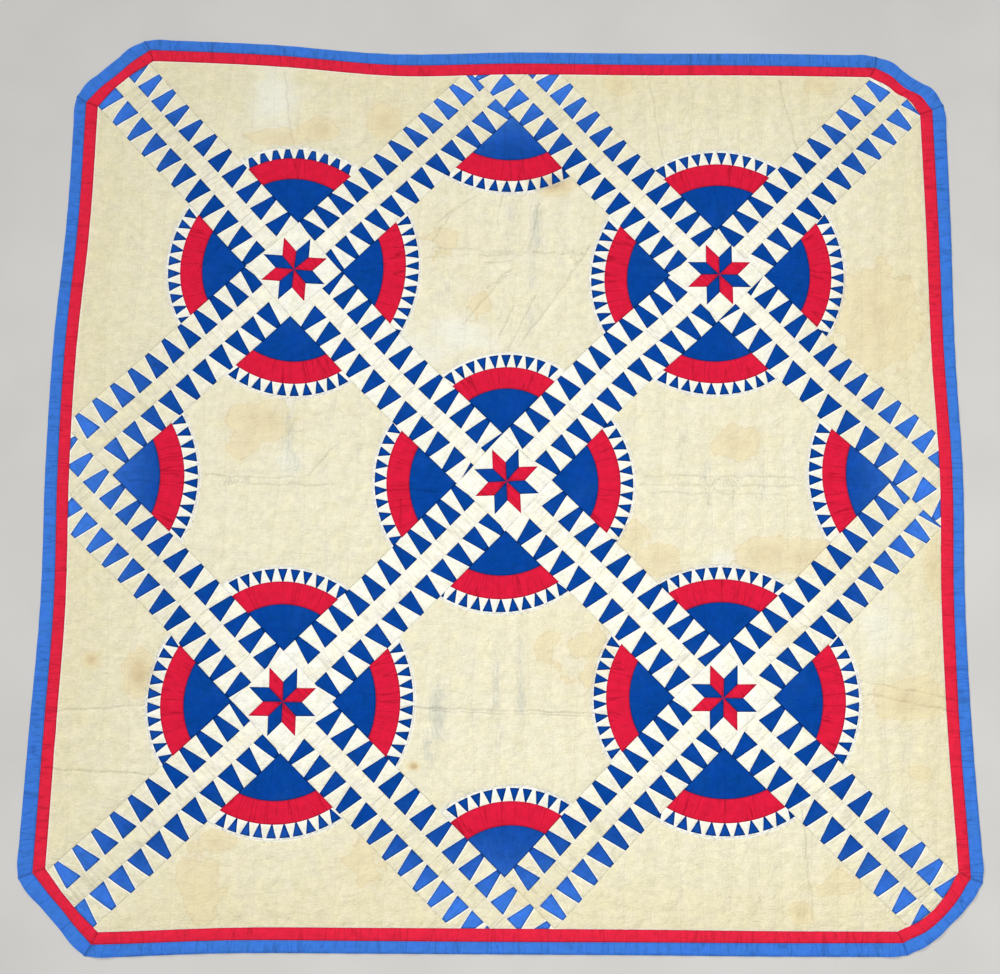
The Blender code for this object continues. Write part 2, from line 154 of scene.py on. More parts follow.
def to_quilt(flat):
    """Places on the quilt as it lies, for an array of points pieced flat on the slant grid."""
    u, v = flat[:, 0], flat[:, 1]
    shifted_u = u + drift("left", u / PITCH, v / PITCH)
    shifted_v = v + drift("right", v / PITCH, u / PITCH)
    return np.stack((shifted_u - shifted_v, shifted_u + shifted_v), axis=1) * math.sqrt(0.5)


def to_flat(places):
    """Places on the slant grid, for an array of points of the quilt as it lies."""
    plain = np.stack((places[:, 0] + places[:, 1], places[:, 1] - places[:, 0]), axis=1) * math.sqrt(0.5)
    flat = plain.copy()
    for _ in range(5):
        flat = plain - np.stack((drift("left", flat[:, 0] / PITCH, flat[:, 1] / PITCH),
                                 drift("right", flat[:, 1] / PITCH, flat[:, 0] / PITCH)), axis=1)
    return flat


sample = np.array(((0.3, 0.2), (-0.5, 0.9)))
print("there and back, in mm:", np.round(1000 * np.abs(to_flat(to_quilt(sample)) - sample).max(), 3))

# %% [markdown]
# ## The outline and its two borders
#
# The quilt's corners are cut off, so it has eight sides, and each side bows a little. A side is given
# by its first corner, its bows, and the widths of the blue and the red border along it.

# %% Border lines
Side = namedtuple("Side", "name x y bows blue red")
SIDES = (
    Side("top", -0.848, 1.031, (-0.006, -0.023, -0.012, -0.008, -0.002), (0.026, 0.028, 0.032),
         (0.027, 0.027, 0.024)),
    Side("upper_right_corner", 0.877, 1.026, (0.008, 0.005, 0.012), (0.028, 0.031, 0.031),
         (0.028, 0.024, 0.027)),
    Side("right", 1.038, 0.905, (-0.001, -0.006, -0.002, -0.012, -0.010), (0.032, 0.025, 0.030),
         (0.030, 0.029, 0.027)),
    Side("lower_right_corner", 1.038, -0.887, (0.010, 0.013, 0.012), (0.028, 0.023, 0.029),
         (0.028, 0.025, 0.026)),
    Side("bottom", 0.863, -1.037, (-0.001, -0.004, -0.006, -0.008, -0.009), (0.029, 0.026, 0.027),
         (0.024, 0.027, 0.025)),
    Side("lower_left_corner", -0.887, -1.009, (0.000, -0.002, 0.000), (0.029, 0.028, 0.033),
         (0.026, 0.022, 0.025)),
    Side("left", -1.034, -0.848, (-0.003, -0.007, 0.004, 0.007, -0.002), (0.033, 0.027, 0.026),
         (0.026, 0.025, 0.027)),
    Side("upper_left_corner", -0.998, 0.891, (0.005, 0.004, 0.005), (0.029, 0.029, 0.029),
         (0.026, 0.022, 0.026)),
)
CORNER_ROUNDING = 0.003
CORNER_REACH = 0.022


def blend(values, share):
    """Read a row of evenly spaced values at a share of its length, as one smooth curve."""
    last = len(values) - 1
    place = min(max(share, 0.0), 1.0) * last
    index = min(int(place), last - 1)
    part = place - index
    before, after = values[max(index - 1, 0)], values[min(index + 2, last)]
    start, end = values[index], values[index + 1]
    slope_start, slope_end = (end - before) / 2, (after - start) / 2
    return (start * (1 + 2 * part) * (1 - part) ** 2 + slope_start * part * (1 - part) ** 2
            + end * part ** 2 * (3 - 2 * part) - slope_end * part ** 2 * (1 - part))


def side_length(index):
    """Length of a side of the outline, from corner to corner."""
    side, after = SIDES[index], SIDES[(index + 1) % len(SIDES)]
    return math.hypot(after.x - side.x, after.y - side.y)


def side_inset(index, share, line):
    """Depth of a border line inside the outline, at a share of a side's length."""
    depth = CORNER_ROUNDING * math.exp(-(min(share, 1 - share) * side_length(index) / CORNER_REACH) ** 2)
    if line in ("blue_seam", "red_seam"):
        depth = blend(SIDES[index].blue, share)
    if line == "red_seam":
        depth += blend(SIDES[index].red, share)
    return depth


def side_normal(index):
    """Direction that points straight out of a side."""
    side, after = SIDES[index % len(SIDES)], SIDES[(index + 1) % len(SIDES)]
    return Vector((side.y - after.y, after.x - side.x)).normalized()


def ring_corner(index, line, extra):
    """Corner of a border line: where the lines inside two neighbouring sides cross."""
    index %= len(SIDES)
    first, second = side_normal(index - 1), side_normal(index)
    corner = Vector((SIDES[index].x, SIDES[index].y))
    reach_first = first.dot(corner) - side_inset(index - 1, 1, line) - extra
    reach_second = second.dot(corner) - side_inset(index, 0, line) - extra
    cross = first.x * second.y - first.y * second.x
    return Vector(((reach_first * second.y - reach_second * first.y) / cross,
                   (first.x * reach_second - second.x * reach_first) / cross))


def ring_point(index, share, line, extra=0.0):
    """Point on a border line, at a share of a side, moved in by a little extra."""
    start, end = ring_corner(index, line, extra), ring_corner(index + 1, line, extra)
    bow = blend((0.0, *SIDES[index].bows, 0.0), share)
    straight = (1 - share) * side_inset(index, 0, line) + share * side_inset(index, 1, line)
    return start.lerp(end, share) + side_normal(index) * (bow - side_inset(index, share, line) + straight)


def row_count(index):
    """Number of rows of quilting across the border along a side."""
    return round(side_length(index) / BORDER_ROW)


def ring(line, extra=0.0):
    """All of a border line, anticlockwise, as an array of points."""
    points = [ring_point(index, step / row_count(index), line, extra)
              for index in range(len(SIDES)) for step in range(row_count(index))]
    return np.array(points[::-1])


print("outline in mm:", np.round(1000 * (ring("edge").max(axis=0) - ring("edge").min(axis=0))))

# %% [markdown]
# ## Distances
#
# Nearly everything about cloth depends on how far a point lies from what is sewn: how high it puffs,
# where it is worn, where shade is painted, where thread shows. One function gives the distance of many
# points from a set of straight stretches.

# %% Measure from points to lines
def closed(points):
    """The straight stretches of a closed line of points, as pairs of ends."""
    return np.stack((points, np.roll(points, -1, axis=0)), axis=1)


def nearer(first, second):
    """Of two signed distances, the one that is nearer to zero."""
    return np.where(np.abs(first) < np.abs(second), first, second)


def distance(points, stretches, signed=False):
    """Distance to the nearest of some straight stretches; if signed, below zero on their right side."""
    best = np.full(len(points), FAR)
    for start, end in stretches:
        run, offset = end - start, points - start
        share = np.clip(offset @ run / max(run @ run, 1e-12), 0, 1)
        away = np.hypot(*(offset - share[:, None] * run).T)
        if signed:
            away = np.copysign(away, run[0] * offset[:, 1] - run[1] * offset[:, 0])
        best = nearer(away, best)
    return best


def surrounded(points, outline):
    """True for the points that lie inside a closed outline."""
    found = np.zeros(len(points), bool)
    for start, end in closed(outline):
        spans = (start[1] > points[:, 1]) != (end[1] > points[:, 1])
        rise = end[1] - start[1] if end[1] != start[1] else 1.0
        found ^= spans & (points[:, 0] < start[0] + (points[:, 1] - start[1]) / rise * (end[0] - start[0]))
    return found


EDGE_LINE = closed(ring("edge"))
RED_SEAM = to_flat(ring("red_seam", HALF_GAP))
print("middle to edge in mm:", np.round(1000 * distance(np.zeros((1, 2)), EDGE_LINE)))

# %% [markdown]
# ## Cutting and piecing
#
# A patch starts as one flat face and is cut along seams with bisect_plane, which cuts straight through
# the faces that it is given and leaves their shared points shared, so two patches always meet. Cutting
# only a few faces at a time keeps a cut from running on through its neighbours. The fine mesh that the
# puffs need is cut last, by halving the piece again and again.

# %% Cut flat cloth
ORDER = ("muslin", "strip", "point_ground", "blue", "red")
MUSLIN, STRIP, POINT_GROUND, BLUE, RED = range(len(ORDER))


def cut(form, faces, start, end, trim=False):
    """Cut some faces along a straight line; with trim, what lies right of the line goes."""
    run_x, run_y = end[0] - start[0], end[1] - start[1]
    parts = dict.fromkeys(part for face in faces for part in (*face.verts, *face.edges))
    made = bmesh.ops.bisect_plane(form, geom=[*parts, *faces], dist=CUT_CLOSE, clear_outer=trim,
                                  plane_co=(start[0], start[1], 0), plane_no=(run_y, -run_x, 0))
    return [part for part in made["geom"] if isinstance(part, bmesh.types.BMFace)]


def crosswise(form, faces, axis, places):
    """Cut faces straight across one axis at many places, halving them each time."""
    if not places or not faces:
        return
    middle = len(places) // 2
    start, end = [0.0, 0.0], [1.0, 1.0]
    start[axis] = end[axis] = places[middle]
    made = cut(form, faces, start, end)
    low = [face for face in made if face.calc_center_median()[axis] < places[middle]]
    high = [face for face in made if face.calc_center_median()[axis] >= places[middle]]
    crosswise(form, low, axis, places[:middle])
    crosswise(form, high, axis, places[middle + 1:])


def stepped(start, end, step):
    """Even places from start to end, both of them kept."""
    count = max(round(abs(end - start) / step), 1)
    return [start + (end - start) * index / count for index in range(count + 1)]


def flat_face(corners, fabric=0):
    """A bmesh with one flat face."""
    form = bmesh.new()
    form.faces.new([form.verts.new((*corner, 0)) for corner in corners]).material_index = fabric
    return form


def middles(faces):
    """Middle of each face, as an array."""
    return np.array([face.calc_center_median().xy for face in faces]).reshape(-1, 2)


def trim_to_border(form, outline):
    """Cut a finely meshed piece along a closed outline, and throw away what lies outside."""
    near = distance(middles(form.faces), closed(outline)) < 2.5 * MESH_STEP
    faces = [face for face, is_near in zip(form.faces, near) if is_near]
    for start, end in closed(outline):
        run = end - start
        length = float(np.hypot(*run))
        touched = []
        for face in faces:
            offsets = [(vert.co.x - start[0], vert.co.y - start[1]) for vert in face.verts]
            along = [(x * run[0] + y * run[1]) / length for x, y in offsets]
            aside = [(x * run[1] - y * run[0]) / length for x, y in offsets]
            if max(along) > 0 and min(along) < length and min(aside) < -CUT_CLOSE and max(aside) > CUT_CLOSE:
                touched.append(face)
        if touched:
            rest = [face for face in faces if face not in touched]
            faces = [*rest, *cut(form, touched, start, end)]
    kept = surrounded(middles(form.faces), outline)
    waste = [face for face, is_kept in zip(form.faces, kept) if not is_kept]
    bmesh.ops.delete(form, geom=waste, context="FACES")


def sewing_lines(form, at_border=False):
    """Ends of all edges that are sewn down to the back, of all seams, and of the white ground's seams."""
    found = ([], [], [])
    sewn, seams, whites = found
    for edge in form.edges:
        ends = [vert.co.xy for vert in edge.verts]
        fabrics = {face.material_index for face in edge.link_faces}
        if edge.is_boundary or len(fabrics) == 2:
            seams.append(ends)
            if fabrics != {BLUE, POINT_GROUND}:
                sewn.append(ends)
        if POINT_GROUND in fabrics and fabrics & {BLUE, RED, MUSLIN}:
            whites.append(ends)
    border = [closed(RED_SEAM)] if at_border else []
    return [np.concatenate((np.array(ends).reshape(-1, 2, 2), *border)) for ends in found]


trial = flat_face(((0, 0), (0.1, 0), (0.1, 0.1), (0, 0.1)))
crosswise(trial, list(trial.faces), 0, stepped(0, 0.1, 0.02)[1:-1])
print("a square of cloth cut into", len(trial.faces), "strips")
trial.free()

# %% [markdown]
# ## Folds and creases
#
# The quilt was stored folded, and three folds still cross it. Other creases came from lying and
# washing. Each is placed from one end to the other, as a soft trough with its own depth and reach,
# and some are doubled, as where cloth was pressed twice. Each row of the table has the two ends of a
# crease, as X and Y from the middle star, its depth and its reach, all in millimetres.

# %% Creases listed one by one
Fold = namedtuple("Fold", "height slope")
FOLDS = (Fold(0.520, 0.000), Fold(0.002, -0.012), Fold(-0.530, 0.012))
CREASES = np.array((
    (310, 9, 640, 5, 0.5, 5), (300, -12, 655, -14, 0.6, 5), (330, -30, 620, -34, 0.3, 5),
    (-666, 12, -575, 0, 0.4, 5), (-600, 6, -480, 4, 0.4, 5), (-626, -12, -395, -13, 0.5, 5),
    (-170, 535, 160, 522, 0.6, 6), (-190, 512, -60, 520, 0.5, 5), (-50, 520, 105, 528, 0.6, 5),
    (-50, 502, 0, 506, 0.5, 5), (185, 540, 120, 440, 1.4, 10), (120, 440, 36, 325, 1.2, 9),
    (150, 515, 110, 585, 0.6, 6), (0, 480, -45, 445, 0.6, 6), (-10, 700, -25, 600, 0.5, 6),
    (68, 640, 45, 530, 0.5, 6), (-160, 600, -80, 660, 0.5, 6), (-170, 555, -130, 620, 0.5, 6),
    (-100, 360, -10, 470, 0.6, 8), (-20, 330, 10, 395, 0.6, 7), (0, 300, 60, 420, 0.5, 6),
    (-230, -500, 240, -518, 0.4, 5), (-160, -508, 230, -524, 0.3, 5), (450, -50, 455, -20, 0.5, 4),
    (455, -20, 475, 0, 0.5, 4), (475, 0, 500, -2, 0.5, 4), (500, -2, 512, -18, 0.5, 4),
    (512, -18, 505, -45, 0.4, 4), (-385, 75, -440, 15, 0.4, 5), (-240, -50, -235, -300, 0.5, 4),
    (640, -700, 660, -960, 0.6, 4), (579, -393, 760, -446, 0.5, 5), (760, -446, 985, -490, 0.6, 5),
    (800, -480, 990, -520, 0.5, 5), (-985, -502, -769, -490, 0.6, 5), (-985, -622, -762, -636, 0.5, 5),
    (-275, -22, -154, -27, 0.6, 5), (-833, -4, -713, -8, 0.6, 5), (-640, 560, -700, 480, 0.4, 5),
    (640, 950, 700, 700, 0.4, 5), (330, 960, 360, 760, 0.5, 5), (-520, 950, -490, 720, 0.4, 5),
)) / 1000
CREASE_LINES = CREASES[:, :4].reshape(-1, 2, 2)


def creased(places):
    """How far the creases and folds press the cloth down at each place."""
    pressed = np.zeros(len(places))
    for line, (depth, reach) in zip(CREASE_LINES, CREASES[:, 4:]):
        pressed += depth * np.exp(-(distance(places, [line]) / reach) ** 2)
    for fold in FOLDS:
        from_fold = places[:, 1] - fold.height - fold.slope * places[:, 0]
        pressed += FOLD_DEPTH * np.exp(-(from_fold / FOLD_REACH) ** 2)
    return pressed


def crumple(places, length, seed):
    """Even, wave-like crumpling of cloth, from minus one to one, the same each time."""
    dice = np.random.default_rng(seed)
    total = np.zeros(len(places))
    ranges = ((0, math.pi), (0, math.tau), (0.7, 1.5))
    for turn, start, stretch in zip(*[dice.uniform(low, high, CRUMPLE_WAVES) for low, high in ranges]):
        way = np.array((math.cos(turn), math.sin(turn))) * math.tau / (length * stretch)
        total += np.sin(places @ way + start + 2.0 * np.sin(places @ way[::-1] * 0.43 + 2 * start))
    return total / math.sqrt(CRUMPLE_WAVES * 2)


print("creases:", len(CREASES), "folds:", len(FOLDS))

# %% [markdown]
# ## Marks of use
#
# The ground carries tan water stains with sharp tide lines, a few rust spots, blue-grey smudges
# along the rows of quilting, and patches that were washed paler. The mesh keeps only a smooth field
# for each kind, strongest in the middle of a mark. The material later roughens the field with noise and
# cuts it off at a level, which gives crisp, uneven edges that a mesh this coarse couldn't hold. Each
# mark has the X and Y of its middle and how far it reaches across and up, in millimetres, and then
# its strength.

# %% Stains and smudges listed one by one
STAINS = (
    (-290, 840, 30, 30, 0.95), (-440, 816, 40, 22, 0.9), (-530, 797, 60, 16, 0.75),
    (252, 940, 30, 22, 0.8), (733, 948, 30, 22, 0.8), (855, 379, 85, 100, 0.8), (894, -490, 65, 34, 0.9),
    (905, -649, 30, 20, 0.55), (965, -205, 22, 50, 0.9), (-900, -391, 14, 12, 1.25),
    (-797, -424, 22, 34, 1.25), (-651, -865, 50, 75, 0.6), (-617, -775, 30, 20, 0.8),
    (630, -941, 18, 18, 0.95), (720, -880, 45, 30, 0.6), (515, 88, 45, 30, 0.85),
    (275, -125, 28, 30, 0.75), (335, -180, 42, 28, 0.85), (575, -168, 50, 30, 0.95),
    (660, -170, 55, 30, 0.9), (-552, 135, 60, 35, 0.85), (-585, 80, 40, 30, 0.6),
    (-610, 129, 14, 14, 0.66), (90, -370, 45, 60, 0.44), (180, -400, 60, 90, 0.46),
    (-204, -624, 7, 6, 1.9), (100, 695, 34, 18, 1.6), (610, -345, 28, 22, 0.85), (-70, 400, 30, 45, 0.5),
    (-300, -820, 50, 60, 0.5), (60, -900, 70, 40, 0.45), (-160, 560, 60, 50, 0.45),
)
SMUDGES = (
    (-155, -510, 18, 60, 1.0), (-175, -590, 12, 50, 0.8), (-78, -510, 10, 30, 0.6),
    (-27, -455, 10, 70, 0.75), (-20, -560, 10, 60, 0.55), (27, -470, 10, 80, 0.8),
    (25, -360, 10, 60, 0.6), (82, -500, 8, 60, 0.45), (132, -540, 8, 35, 0.45),
    (-110, -380, 30, 50, 0.35), (3, 630, 12, 70, 0.65), (-4, 555, 10, 50, 0.55), (61, 590, 14, 70, 0.85),
    (52, 480, 12, 50, 0.7), (-55, 600, 10, 70, 0.45), (-145, 450, 20, 50, 0.55),
    (-160, 540, 12, 50, 0.45), (115, 500, 12, 50, 0.45), (48, 370, 12, 50, 0.6), (160, 470, 12, 60, 0.4),
    (-20, 395, 14, 60, 0.45), (-490, 105, 14, 70, 0.8), (-475, 30, 12, 40, 0.65), (-340, 70, 12, 50, 0.5),
    (-395, 120, 20, 60, 0.35), (-470, -50, 10, 50, 0.4), (-570, -150, 10, 60, 0.4),
    (-400, -150, 12, 70, 0.45), (395, 80, 16, 60, 0.55), (445, 20, 14, 60, 0.6), (575, -10, 14, 60, 0.6),
    (520, -90, 12, 50, 0.4), (640, 70, 14, 60, 0.45), (340, 20, 12, 60, 0.35),
)
PALE_PATCHES = (
    (-235, 300, 45, 45, 0.8), (-190, 290, 50, 30, 0.7), (-110, 335, 55, 35, 0.85),
    (-60, 310, 40, 20, 0.65), (-544, 890, 55, 80, 0.75), (-505, 172, 30, 25, 0.75),
    (-490, 40, 30, 30, 0.65), (483, -181, 30, 20, 0.8), (830, -330, 60, 80, 0.55),
)


def marked(places, marks):
    """Field of some marks: near the mark's strength in its middle, and fading outwards."""
    field = np.zeros(len(places))
    for x, y, across, up, strength in marks:
        away = np.hypot((1000 * places[:, 0] - x) / across, (1000 * places[:, 1] - y) / up)
        field = np.maximum(field, strength * np.exp(-0.5 * away ** 2))
    return field


print("stains:", len(STAINS), "smudges:", len(SMUDGES), "pale patches:", len(PALE_PATCHES))

# %% [markdown]
# ## The face of the quilt
#
# The face is low along everything that is sewn through to the back and puffs up between. Seams that
# only join two patches make a narrow dip. Big lumps in the filling, folds, creases and an overall
# crumple come on top. The distances are kept as point attributes, so that the materials can draw
# thread, wear, painted shade and fine creases along the same lines.

# %% Raise the face and finish a piece
def ground_rows(places):
    """Signed distance to the nearest row of quilting up and down the plain ground."""
    x, y = places[:, 0], places[:, 1]
    nearest_row = 2 * np.round((x - GROUND_LEAN * y) / GROUND_ROW)
    best = np.full(len(places), FAR)
    for row in (nearest_row - 2, nearest_row, nearest_row + 2):
        sway = GROUND_SWAY * np.sin(math.tau * y / SWAY_LENGTH + row)
        best = nearer(x - row * GROUND_ROW / 2 - GROUND_LEAN * y - sway, best)
    return best


def face_height(places, from_sewn, from_seam):
    """Height of the face above the bed."""
    height = SEWN_HEIGHT + LOFT * (1 - np.exp(-(from_sewn / LOFT_REACH) ** 2))
    lumps = np.sin(math.tau * places[:, 0] / LUMP_LENGTH) * np.cos(math.tau * places[:, 1] / LUMP_WIDTH)
    height += LUMP_HEIGHT * lumps
    height -= SEAM_DEPTH * np.exp(-(from_seam / SEAM_REACH) ** 2)
    height -= creased(places)
    loose = 1 - np.exp(-(from_sewn / LOOSE_REACH) ** 2)
    for rise, length, seed in CRUMPLES:
        height += rise * loose * crumple(places, length, seed)
    return np.maximum(height, BACK_HEIGHT + LEAST_THICKNESS)


def as_mesh(form, name):
    """Turn a form into a mesh; gives it, and its points as seen from above."""
    mesh = bpy.data.meshes.new(name)
    form.to_mesh(mesh)
    form.free()
    points = np.zeros(len(mesh.vertices) * 3)
    mesh.vertices.foreach_get("co", points)
    return mesh, points.reshape(-1, 3)[:, :2]


def lay_out(mesh, places, height):
    """Move the points of a mesh to their places on the quilt, each at its height."""
    mesh.vertices.foreach_set("co", np.column_stack((places + np.array(CROSSING), height)).ravel())


def keep(mesh, name, values):
    """Store one number for each point of a mesh."""
    layer = mesh.attributes.new(name, "FLOAT", "POINT")
    layer.data.foreach_set("value", np.asarray(values, np.float32))


def keep_line(mesh, name, away):
    """Store a signed distance to thin lines, with the plain distance that tells where it holds."""
    keep(mesh, name, np.minimum(np.abs(away), NEAR))
    keep(mesh, f"{name}_line", np.clip(away, -NEAR, NEAR))


def store_marks(mesh, places, from_seam, from_row, run, grain):
    """Store what the materials read: distances, places along the rows, stains, fading and the grain."""
    keep(mesh, "along", run[:, 0])
    keep(mesh, "across", run[:, 1])
    keep(mesh, "seam", np.minimum(from_seam, NEAR))
    keep_line(mesh, "row", from_row)
    for name, creases in (("crease", CREASE_LINES[::2]), ("wrinkle", CREASE_LINES[1::2])):
        keep_line(mesh, name, distance(places, creases, signed=True))
    for name, marks in (("stain", STAINS), ("smudge", SMUDGES), ("pale", PALE_PATCHES)):
        keep(mesh, name, marked(places, marks))
    keep(mesh, "border", np.minimum(distance(places, EDGE_LINE), FADED_RIM))
    corner = np.zeros(len(mesh.loops), np.int32)
    mesh.loops.foreach_get("vertex_index", corner)
    layer = mesh.uv_layers.new(name="grain")
    layer.data.foreach_set("uv", np.asarray(grain, np.float32)[corner].ravel())


def close_back(form):
    """Draw a flat piece's rim down and close its back; gives the points of the back."""
    rim = [edge for edge in form.edges if edge.is_boundary]
    sides = bmesh.ops.extrude_edge_only(form, edges=rim)["geom"]
    back = [edge for edge in sides if isinstance(edge, bmesh.types.BMEdge) and edge.is_boundary]
    low = {vert for edge in back for vert in edge.verts}
    bmesh.ops.translate(form, verts=list(low), vec=(0, 0, -LOFT))
    bmesh.ops.edgeloop_fill(form, edges=back, mat_nr=0)
    bmesh.ops.recalc_face_normals(form, faces=form.faces)
    return low


def link_cloth(mesh, fabrics):
    """Link a finished mesh as a piece of cloth."""
    for fabric in fabrics:
        mesh.materials.append(fabric)
    mesh.shade_smooth()
    piece = bpy.data.objects.new(mesh.name, mesh)
    bpy.context.collection.objects.link(piece)
    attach(piece, "root")
    return piece


def add_piece(mesh, fabrics, node):
    """Link a finished mesh as the piece that replaces a solid."""
    piece = link_cloth(mesh, fabrics)
    mesh.set_sharp_from_angle(angle=math.radians(50))
    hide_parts(node)
    return piece


def finish_flat(node, form, fabrics, lines, rows, run, ground=None):
    """Turn a form that was pieced flat into a raised, closed piece that lies as the solid does."""
    sewn, seams, whites = lines
    area = sum(face.calc_area() for face in form.faces)
    flat = np.array([vert.co.xy for vert in form.verts])
    flat_size = tuple(float(side) for side in flat.max(axis=0) - flat.min(axis=0))
    back = close_back(form)
    form.verts.index_update()
    below = np.array([vert in back for vert in form.verts])
    mesh, flat = as_mesh(form, f"cloth_{node}")
    places = to_quilt(flat)
    from_sewn, from_seam = distance(flat, sewn), distance(flat, seams)
    from_row = distance(flat, rows, signed=True)
    if ground is not None:
        from_row = np.where(ground(flat), nearer(ground_rows(places), from_row), from_row)
    from_sewn = np.minimum(from_sewn, np.abs(from_row))
    lay_out(mesh, places, np.where(below, BACK_HEIGHT, face_height(places, from_sewn, from_seam)))
    grain = flat if ground is None else places
    store_marks(mesh, places, from_seam, from_row, run(flat, places), grain + GRAIN_SHIFT)
    keep(mesh, "white", np.minimum(distance(flat, whites), NEAR))
    return add_piece(mesh, fabrics, node)


# %% [markdown]
# ## Shader tools
#
# Materials are built from nodes by hand. A small class lets the numbers that flow between nodes be added
# and multiplied like plain ones, and each sign adds one Math node. What several fabrics share becomes a
# node group, built once, and such a group gives out only masks, tones and heights, never a shader.

# %% Values that flow between nodes
class Value:
    """What flows out of one socket of a node."""

    def __init__(self, socket):
        self.socket, self.tree = socket, socket.id_data

    def math(self, operation, *others, clamp=False):
        """Put the value through a Math node."""
        node = add_node(self.tree, "ShaderNodeMath", dict(enumerate((self, *others))), operation=operation)
        node.use_clamp = clamp
        return Value(node.outputs[0])

    def scaled(self, factor, base):
        """The value times a factor, on top of a base."""
        return self.math("MULTIPLY_ADD", factor, base)

    def __add__(self, other):
        return self.math("ADD", other)

    def __sub__(self, other):
        return self.math("SUBTRACT", other)

    def __mul__(self, other):
        return self.math("MULTIPLY", other)

    def __gt__(self, other):
        return self.math("GREATER_THAN", other)

    def __abs__(self):
        return self.math("ABSOLUTE")


def add_node(tree, kind, inputs=None, **settings):
    """Add a node with its settings, and link or set its inputs."""
    node = tree.nodes.new(kind)
    for name, value in settings.items():
        setattr(node, name, value)
    for name, value in (inputs or {}).items():
        if isinstance(value, Value):
            tree.links.new(value.socket, node.inputs[name])
        else:
            node.inputs[name].default_value = value
    return node


# %% Helpers for masks, noise and groups
def between(value, low, high, to_low=0.0, to_high=1.0):
    """A smooth step of a value between two levels."""
    node = add_node(value.tree, "ShaderNodeMapRange",
                    {"Value": value, "From Min": low, "From Max": high, "To Min": to_low, "To Max": to_high},
                    interpolation_type="SMOOTHSTEP")
    return Value(node.outputs["Result"])


def fading(value, low, high, strongest=1.0):
    """A smooth step down to zero."""
    return between(value, low, high, strongest, 0.0)


def mixed(tree, share, first, second, blend_type="MIX"):
    """Two colours mixed."""
    node = add_node(tree, "ShaderNodeMix", {0: share, 6: first, 7: second}, data_type="RGBA",
                    blend_type=blend_type)
    return Value(node.outputs[2])


def speckle(place, scale=1.0, detail=2.0, roughness=0.5):
    """Noise, from zero to one."""
    node = add_node(place.tree, "ShaderNodeTexNoise",
                    {"Vector": place, "Scale": scale, "Detail": detail, "Roughness": roughness})
    return Value(node.outputs["Fac"])


def stretched(place, scale, offset=(0.0, 0.0, 0.0)):
    """Coordinates stretched by a Mapping node."""
    node = add_node(place.tree, "ShaderNodeMapping", {"Vector": place, "Scale": scale, "Location": offset})
    return Value(node.outputs["Vector"])


def split(place):
    """The first and the second of three coordinates."""
    parts = add_node(place.tree, "ShaderNodeSeparateXYZ", {0: place}).outputs
    return Value(parts[0]), Value(parts[1])


def new_group(name, inputs, make):
    """A node group with named inputs, whose outputs a function makes; an input of None is a vector."""
    tree = bpy.data.node_groups.new(name, "ShaderNodeTree")
    for label, value in inputs.items():
        kind = "NodeSocketVector" if value is None else "NodeSocketFloat"
        socket = tree.interface.new_socket(label, in_out="INPUT", socket_type=kind)
        if value is not None:
            socket.default_value = value
    sources = tree.nodes.new("NodeGroupInput").outputs
    made = make({label: Value(sources[label]) for label in inputs})
    for label in made:
        tree.interface.new_socket(label, in_out="OUTPUT", socket_type="NodeSocketFloat")
    result = tree.nodes.new("NodeGroupOutput")
    for label, value in made.items():
        tree.links.new(value.socket, result.inputs[label])
    print(name, "has", len(tree.nodes), "nodes")
    return tree


# %% [markdown]
# ## Shared effects
#
# Plain weave is two sets of threads that pass over and under each other, with thicker and thinner
# threads here and there. Washed crumple is noise of two sizes. Puckers are small tucks that run across
# a strip, since thread that is pulled tight gathers the cloth along itself, in places with a thin line
# of painted shade. The sewn edge makes a dip along seams, with a shaded or white line beside it and a
# thin line of painted shade in it. Hand quilting is a dotted line of short stitches in a dent, with
# painted shade along it. Use marks turn the smooth stain fields into crisp blots.

# %% Node group: plain weave
THREAD = 0.0005


def make_weave(source):
    """Threads over and under: their height, and the tone of thicker threads."""
    over, under = [(along * (math.pi / THREAD)).math("SINE") for along in split(source["Grain"])]
    warp, weft = abs(over), abs(under)
    slub_up = speckle(stretched(source["Grain"], (900, 26, 1)))
    slub_across = speckle(stretched(source["Grain"], (26, 900, 1), (7, 3, 0)))
    return {"Height": (over * under > 0.0).scaled(warp - weft, weft), "Tone": (slub_up + slub_across) * 0.5}


WEAVE = new_group("plain weave", {"Grain": None}, make_weave)


# %% Node group: washed crumple
def make_crumple(source):
    """Fine crumpling of washed cotton: its height in metres."""
    tree = source["Place"].tree
    bent = add_node(tree, "ShaderNodeTexNoise", {"Vector": source["Place"], "Scale": 22.0, "Detail": 0.0})
    pushed = add_node(tree, "ShaderNodeVectorMath", {0: Value(bent.outputs["Color"]), 1: (0.03, 0.03, 0.0),
                                                     2: source["Place"]}, operation="MULTIPLY_ADD")
    place = Value(pushed.outputs[0])
    fine = speckle(stretched(place, (120, 165, 1)), 1.0, 3.0, 0.65)
    return {"Height": fine.scaled(0.0021, speckle(place, 34.0) * 0.0044) * source["Amount"]}


CRUMPLE = new_group("washed crumple", {"Place": None, "Amount": 1.0}, make_crumple)


# %% Node group: puckers
def make_puckers(source):
    """Small tucks across a strip or ring: their height in metres, and their thin lines of painted shade."""
    along = speckle(source["Place"], 30.0, 1.0).scaled(0.008, source["Along"])
    spot = Value(add_node(along.tree, "ShaderNodeCombineXYZ", {0: along, 1: source["Across"]}).outputs[0])
    tuck = speckle(stretched(spot, (42, 4, 1)), detail=1.0)
    where = between(speckle(stretched(spot, (24, 14, 1), (5, 9, 0))), 0.38, 0.56)
    # Thin lines of painted shade in the tucks.
    line = fading(abs(tuck - 0.5), 0.0, 0.024) * where
    return {"Height": line.scaled(-0.0005, tuck * 0.0014), "Line": line}


PUCKERS = new_group("puckers", {"Along": 0.0, "Across": 0.0, "Place": None}, make_puckers)


